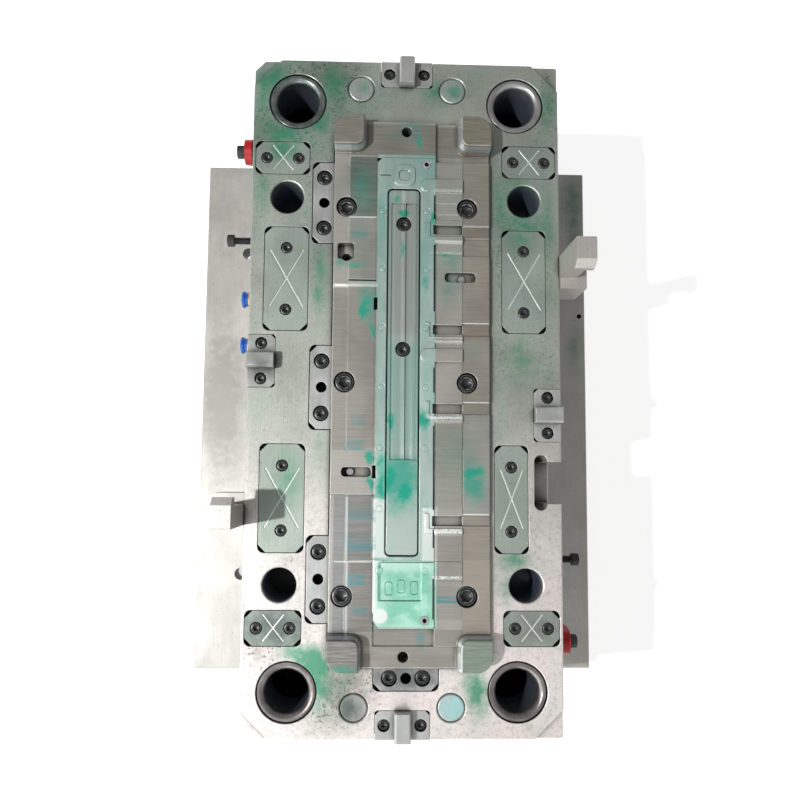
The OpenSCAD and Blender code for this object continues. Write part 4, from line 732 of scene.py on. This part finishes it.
# Painted reflection: a pale bluish coat on the insert's steep walls, which are also made glossier.
insert_steel.walls(wall_foot, srgb(204, 214, 224), 0.8, 0.2)
insert_low, insert_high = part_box("core_insert")
heel_width, heel_length, heel_fall, margin = 0.0275, 0.029, 0.003, 0.001
for side, end, tone in heel_tones:
    corner_x = insert_high.x if side > 0 else insert_low.x
    corner_y = insert_high.y if end > 0 else insert_low.y
    inner_x, inner_y = corner_x - side * heel_width, corner_y - end * heel_length
    low = (min(corner_x, inner_x), min(corner_y, inner_y), insert_high.z - heel_fall)
    high = (max(corner_x, inner_x) + margin, max(corner_y, inner_y) + margin, insert_high.z + margin)
    shift = 80 + side + 2 * end
    brushed = insert_steel.noise(0.0018, 0.3, 0.65, 0.9, stretch=(12, 1, 1), detail=4, shift=shift)
    top = insert_steel.inside(low, high, 0.0006)
    insert_steel.coat(insert_steel.math("MULTIPLY", top, 0.45), tone)
    insert_steel.coat(insert_steel.math("MULTIPLY", top, brushed), tone)
insert_steel.smears(dabs(insert_dabs, face_height), spotting_teal, insert_reach, ragged=0.003)
# Old oil and painted shade in gaps and corners.
insert_steel.grime_and_shade(0.008)
dress(insert_steel.done(), "core_insert", "ejector_pins")


# The lines of the label field
# A frame and three blank round-cornered windows that the moulded part carries as thin lines. Here
# they stand a quarter of a millimetre proud of the label field's milled floor.
label_height = parting_height + 0.0085
line_width, line_height = 0.0006, 0.00025
frame_corners = [(380, 562.5), (433, 562.5), (433, 577.8), (421, 577.8), (421, 600.5), (380, 600.5)]
frame_radius, window_radius = 0.0012, 0.002
window_middles = [(388.3, 588.5), (401, 586.5), (414, 588)]
window_half_x, window_half_y = 3.5, 6.5
window_turns = [(-1, -1), (1, -1), (1, 1), (-1, 1)]


def raised_line(corners, radius):
    """A closed thin line on the label field through corners given in the photograph's pixels. Each
    turn is a quadratic curve that starts and ends a radius from its corner, and a low flat section
    is swept along the route."""
    points = [on_face(px, py, label_height) for px, py in corners]
    share = np.linspace(0, 1, 8)[:, None]
    turns = []
    for before, corner, after in zip(points[-1:] + points[:-1], points, points[1:] + points[:1]):
        start = np.array(corner + (before - corner).normalized() * radius)
        end = np.array(corner + (after - corner).normalized() * radius)
        middle = np.array(corner) * 2 * share * (1 - share)
        turns.append(start * (1 - share) ** 2 + middle + end * share ** 2)
    route = np.concatenate(turns)[:, :2]
    ahead = np.roll(route, -1, axis=0) - np.roll(route, 1, axis=0)
    ahead /= np.linalg.norm(ahead, axis=1)[:, None]
    aside = np.stack([-ahead[:, 1], ahead[:, 0]], axis=1)
    rows = []
    for across, up in [(-1, -0.5), (-1, 0.5), (-0.6, 1), (0.6, 1), (1, 0.5), (1, -0.5), (-1, -0.5)]:
        level = np.full((len(route), 1), label_height + up * line_height)
        rows.append(np.concatenate([route + aside * (across * line_width / 2), level], axis=1))
    return np.array(rows)


outlines = [raised_line(frame_corners, frame_radius)]
for px, py in window_middles:
    corners = [(px + x * window_half_x, py + y * window_half_y) for x, y in window_turns]
    outlines.append(raised_line(corners, window_radius))
outline_steel = Finish("outline_steel", srgb(92, 138, 122), 0.3)
outline_steel.coat(outline_steel.noise(0.004, 0.4, 0.7, 0.8, detail=4), srgb(70, 104, 94))
label_outlines = grid_mesh("label_outlines", outlines, outline_steel.done(), smooth=50)
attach(label_outlines, "mould")


# The centre core
# A long narrow insert of the same mould steel, let into the core insert and held by two cap screws.
# A ball cutter has left bands along it, and a thin film of spotting blue lies on its front part.
centre_dabs = [
    (391, 422, 3, 7, 0.7), (390, 478, 4, 12, 0.9), (405, 491, 6, 9, 1), (404, 213, 6, 3, 0.9),
    (403, 247, 3, 9, 0.5), (397, 199, 4, 3, 0.5),
]
# Each band from one pass of the cutter: left and right in pixels, tone and strength
centre_bands = [
    (388.3, 394, srgb(140, 186, 176), 0.6), (394, 395, srgb(226, 236, 232), 0.7),
    (395, 399, srgb(150, 160, 156), 0.5), (399, 402.5, srgb(186, 194, 190), 0.5),
    (402.5, 404, srgb(236, 240, 238), 0.7), (404, 406, srgb(196, 206, 202), 0.5),
    (406, 410, srgb(150, 166, 160), 0.5), (410, 412, srgb(206, 212, 210), 0.5),
    (412, 416, srgb(160, 182, 174), 0.5), (416, 420, srgb(120, 150, 142), 0.6),
]
band_top, band_bottom = 190, 462
# Broader tones across it: top and bottom in pixels, colour, strength and soft margin
centre_left, centre_right = 386, 424
centre_tones = [
    (205, 330, srgb(160, 152, 148), 0.3, 0.008), (350, 440, srgb(130, 190, 174), 0.4, 0.012),
    (463, 560, srgb(196, 214, 206), 0.85, 0.001),
]
centre_films = [(398, 485, 22, 30, 1), (404, 475, 20, 16, 0.6)]
centre_steel = Finish("centre_steel", srgb(206, 218, 210), 0.34)
# Pale edges: bright wear and a painted highlight.
centre_steel.round_edges(0.0008, srgb(232, 240, 236))
for left, right, tone, strength in centre_bands:
    patch(centre_steel, left, band_top, right, band_bottom, tone, strength, 0.0004)
centre_cloud = centre_steel.noise(0.03, 0.35, 0.7, 0.4, stretch=(1, 4, 1), detail=6)
centre_steel.coat(centre_cloud, srgb(190, 206, 198))
centre_grain = centre_steel.noise(0.0016, 0.35, 0.7, 0.2, stretch=(1, 24, 1), detail=3)
centre_steel.coat(centre_grain, srgb(120, 150, 140))
for top, bottom, tone, strength, fade in centre_tones:
    patch(centre_steel, centre_left, top, centre_right, bottom, tone, strength, fade)
centre_steel.haze(dabs(centre_films, face_height), srgb(70, 180, 156), insert_reach)
centre_steel.smears(dabs(centre_dabs, face_height), spotting_teal, insert_reach, ragged=0.003)
# Old oil and painted shade in gaps and corners.
centre_steel.grime_and_shade(0.005)
dress(centre_steel.done(), "centre_core")


# Screws
# Socket head cap screws of alloy steel: cold headed, knurled round the rim, with rolled threads and
# black oxide rubbed bright, with a painted highlight, on its edges. Each stands where its CAD screw is.
def solids(node):
    """The points of each separate solid of a CAD node, in metres: every triangle hands the lowest
    label among its corners to the others, until no label changes."""
    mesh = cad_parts[node].data
    place = np.empty(len(mesh.vertices) * 3)
    mesh.vertices.foreach_get("co", place)
    corner = np.empty(len(mesh.loops), dtype=np.int64)
    mesh.loops.foreach_get("vertex_index", corner)
    steps = np.round(place.reshape(-1, 3) * 1e5 + 0.2).astype(np.int64)
    kept, merged = np.unique(steps, axis=0, return_inverse=True)
    triangle = merged.reshape(-1)[corner].reshape(-1, 3)
    label, before = np.arange(len(kept)), None
    while before is None or (label != before).any():
        before = label.copy()
        np.minimum.at(label, triangle.ravel(), np.repeat(label[triangle].min(axis=1), 3))
        label = label[label]
    return [kept[label == one] / 1e5 for one in np.unique(label)]


screw_columns = 96
# In millimetres: the head's width, then the shank's and the socket's
screw_sizes = {10: (6, 5), 13: (8, 6), 16: (10, 8), 18: (12, 10), 24: (16, 14)}
thread_pitch = 0.00125


def screw_grid(points, index, threaded):
    """A cap screw turned about its axis from the shank's end to the middle of the socket. The rim's
    radius steps in and out by one column for the knurl, the socket's walls lie at its half width
    over the cosine of the angle from the nearest flat, and a thread's radius follows a triangle
    wave of height over pitch less turn."""
    low, high = points.min(axis=0), points.max(axis=0)
    size = high - low
    head = np.median(size)
    axis = int(np.argmax(np.abs(size - head)))
    middle = (low + high) / 2
    reach = np.linalg.norm(np.delete(points - middle, axis, axis=1), axis=1)
    near_low = reach[points[:, axis] < low[axis] + 0.1 * size[axis]].max()
    near_high = reach[points[:, axis] > high[axis] - 0.1 * size[axis]].max()
    way = 1 if near_high > near_low else -1
    width, socket = (v / 1000 for v in screw_sizes[round(head * 1000)])
    length = size[axis] - width
    seat = middle.copy()
    seat[axis] = (high[axis] if way > 0 else low[axis]) - way * width
    rim, edge, shank = head / 2, 0.07 * width, width / 2
    turn = np.linspace(0, 2 * np.pi, screw_columns, endpoint=False)
    round_part = np.ones(screw_columns)
    knurl = 1 - 0.035 * (np.arange(screw_columns) % 2)
    hexagon = 1 / np.cos(np.mod(turn, np.pi / 3) - np.pi / 6)
    flat = socket / 2
    rows = [(0, -length, round_part), (0.8 * shank, -length, round_part)]
    if threaded:
        count = int(length / thread_pitch * 5)
        for height in np.linspace(-length + 0.001, -0.0006, count):
            wave = np.abs(np.mod(height / thread_pitch - turn / (2 * np.pi), 1) * 2 - 1)
            rows.append((shank, height, 1 - 0.15 * wave))
    else:
        rows += [(shank, -length + 0.2 * shank, round_part)]
    rows += [
        (shank, 0, round_part), (rim - edge, 0, round_part), (rim, edge, knurl),
        (rim, width - 1.8 * edge, knurl), (rim - 0.2 * edge, width - 1.1 * edge, round_part),
        (rim - 0.6 * edge, width - 0.4 * edge, round_part), (rim - 1.4 * edge, width, round_part),
        (flat * 1.22, width, round_part), (flat * 1.16, width - 0.05 * width, round_part),
        (flat, width - 0.09 * width, hexagon), (flat, 0.5 * width, hexagon),
        (flat * 0.9, 0.47 * width, round_part), (0, 0.4 * width, round_part),
    ]
    radius = np.array([r * shape for r, _, shape in rows])
    height = np.repeat(np.array([h for _, h, _ in rows])[:, None], screw_columns, axis=1)
    angle = turn * way + 2.4 * index
    grid = np.empty((len(rows), screw_columns, 3))
    grid[..., axis] = seat[axis] + way * height
    grid[..., (axis + 1) % 3] = seat[(axis + 1) % 3] + radius * np.cos(angle)
    grid[..., (axis + 2) % 3] = seat[(axis + 2) % 3] + radius * np.sin(angle)
    return grid


black_oxide = Finish("black_oxide", srgb(34, 35, 37), 0.32, metallic=0.1)
black_oxide.coat(black_oxide.noise(0.003, 0.5, 0.75, 0.5, detail=5), srgb(62, 64, 64))
rubbed_and_highlight = black_oxide.add("ShaderNodeAttribute", attribute_name="rubbed_and_highlight").outputs["Fac"]
# Rubbed bright and painted with a highlight on the rims and socket lips.
black_oxide.coat(rubbed_and_highlight, srgb(196, 200, 198))
# Old oil and painted shade in the sockets and round the heads.
black_oxide.grime_and_shade(0.004, low=0.3, high=0.8)
black_oxide = black_oxide.done()
dress(black_oxide, "button_screws")


def rub_and_highlight_rims(screws, node):
    """Marks how far the oxide is rubbed off, which also sets a painted highlight: on the rim's chamfer
    and the socket's lip, found from each point's distance to its screw's axis and height in the head."""
    mesh = screws.data
    place = np.empty(len(mesh.vertices) * 3)
    mesh.vertices.foreach_get("co", place)
    place = place.reshape(-1, 3)
    mark = np.zeros(len(place))
    for points in solids(node):
        low, high = points.min(axis=0), points.max(axis=0)
        size = high - low
        head = np.median(size)
        axis = int(np.argmax(np.abs(size - head)))
        near = ((place > low - 0.0002) & (place < high + 0.0002)).all(axis=1)
        reach = np.linalg.norm(np.delete(place - (low + high) / 2, axis, axis=1), axis=1)
        width, socket = (v / 1000 for v in screw_sizes[round(head * 1000)])
        flat = socket / 2
        end = np.minimum(np.abs(place[:, axis] - high[axis]), np.abs(place[:, axis] - low[axis]))
        rim = (reach > head / 2 - 0.08 * width) & (reach < head / 2 - 0.02 * width) & (end < 0.06 * width)
        lip = (reach > flat * 1.12) & (reach < flat * 1.19) & (end < 0.07 * width)
        mark[near & rim] = min(1.0, head / 0.019)
        mark[near & lip] = min(0.85, head / 0.022)
    mesh.attributes.new("rubbed_and_highlight", "FLOAT", "POINT").data.foreach_set("value", mark)


screw_nodes = {
    "core_insert_screws": "mould", "centre_core_screws": "mould", "wedge_screws": "mould",
    "wear_plate_screws": "mould", "side_lock_screws": "mould", "hook_screws": "mould",
    "strap_screws": "mould", "side_screws": "mould", "plate_cap_screws": "mould",
    "pillar_screws": "mould", "ejector_plate_screws": "ejector", "limiter_screws": "ejector",
}
for node, body in screw_nodes.items():
    threaded = node == "side_screws"
    grids = [screw_grid(points, index, threaded) for index, points in enumerate(solids(node))]
    screws = grid_mesh(node + "_modelled", grids, black_oxide, smooth=32)
    rub_and_highlight_rims(screws, node)
    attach(screws, body)
    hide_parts(node)


# The safety straps
# Two steel straps, painted red, that tie the mould's halves together while it is carried. Each hangs
# from one black screw and swings on it.
red_paint = Finish("red_paint", srgb(196, 30, 36), 0.38, metallic=0.0)
red_paint.coat(red_paint.noise(0.006, 0.5, 0.8, 0.5, detail=5), srgb(150, 22, 30))
dress(red_paint.done(), "safety_strap_left", "safety_strap_right")


# The water fittings and the ejector's guide bushes
# Push-in fittings turned from brass, screwed into the support plate, each with a blue release
# collar. The bushes that guide the ejector plates are turned from bronze of nearly the same colour.
blue_plastic = Finish("blue_plastic", srgb(20, 96, 200), 0.3, metallic=0.0)
blue_plastic.coat(blue_plastic.noise(0.005, 0.5, 0.8, 0.4, detail=4), srgb(14, 70, 160))
dress(blue_plastic.done(), "water_fitting_collars")
brass = Finish("brass", srgb(214, 180, 110), 0.3)
brass.coat(brass.noise(0.004, 0.5, 0.8, 0.5, detail=4), srgb(160, 128, 70))
dress(brass.done(), "water_fittings", "ejector_guide_bushes")


# The return springs
# Four die springs wound from flat wire and painted blue. They sit over the return pins against the
# support plate; in the mould they shorten as the ejector plates rise, but here they keep one length.
spring_low, spring_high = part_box("return_springs")
spring_foot, spring_top = spring_low.z, spring_high.z
spring_height = spring_top - spring_foot
spring_radius, spring_turns = 0.025, 8
wire_width, wire_height = 0.008, 0.0044
spring_x, spring_y = spring_high.x - spring_radius, spring_high.y - spring_radius
spring_paint = Finish("spring_paint", srgb(34, 86, 170), 0.35, metallic=0.0)
spring_paint.coat(spring_paint.noise(0.006, 0.5, 0.8, 0.5, detail=4), srgb(22, 60, 130))


def coil_spring(middle_x, middle_y):
    """A die spring wound from flat wire. The wire's rounded section is swept along a helix whose
    rise runs slowly over the closed end turns and evenly between them, and both ends are ground
    level by limiting the height to the spring's own."""
    turn = np.linspace(0, spring_turns, spring_turns * 48 + 1)[:, None]
    sunk = 0.6 * wire_height
    room = spring_height - wire_height
    heights = [-sunk, wire_height * 0.55, room - wire_height * 0.55, room + sunk]
    rise = np.interp(turn, [0, 1, spring_turns - 1, spring_turns], heights)
    across = np.array([-0.5, -0.42, 0.42, 0.5, 0.5, 0.42, -0.42, -0.5]) * wire_width
    up = np.array([0.3, 0.5, 0.5, 0.3, -0.3, -0.5, -0.5, -0.3]) * wire_height
    radius = spring_radius - wire_width / 2 + across
    height = np.clip(rise + wire_height / 2 + up, 0, spring_height) + spring_foot
    angle = 2 * np.pi * turn
    place_x = middle_x + radius * np.cos(angle)
    place_y = middle_y + radius * np.sin(angle)
    coil = np.stack([place_x, place_y, height], axis=-1)
    poles = np.repeat(coil.mean(axis=1, keepdims=True), len(across), axis=1)
    return np.concatenate([poles[:1], coil, poles[-1:]])


coils = [coil_spring(side * spring_x, end * spring_y) for side in (-1, 1) for end in (-1, 1)]
springs = grid_mesh("return_springs_modelled", coils, spring_paint.done(), smooth=35)
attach(springs, "mould")
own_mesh(springs)
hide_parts("return_springs")
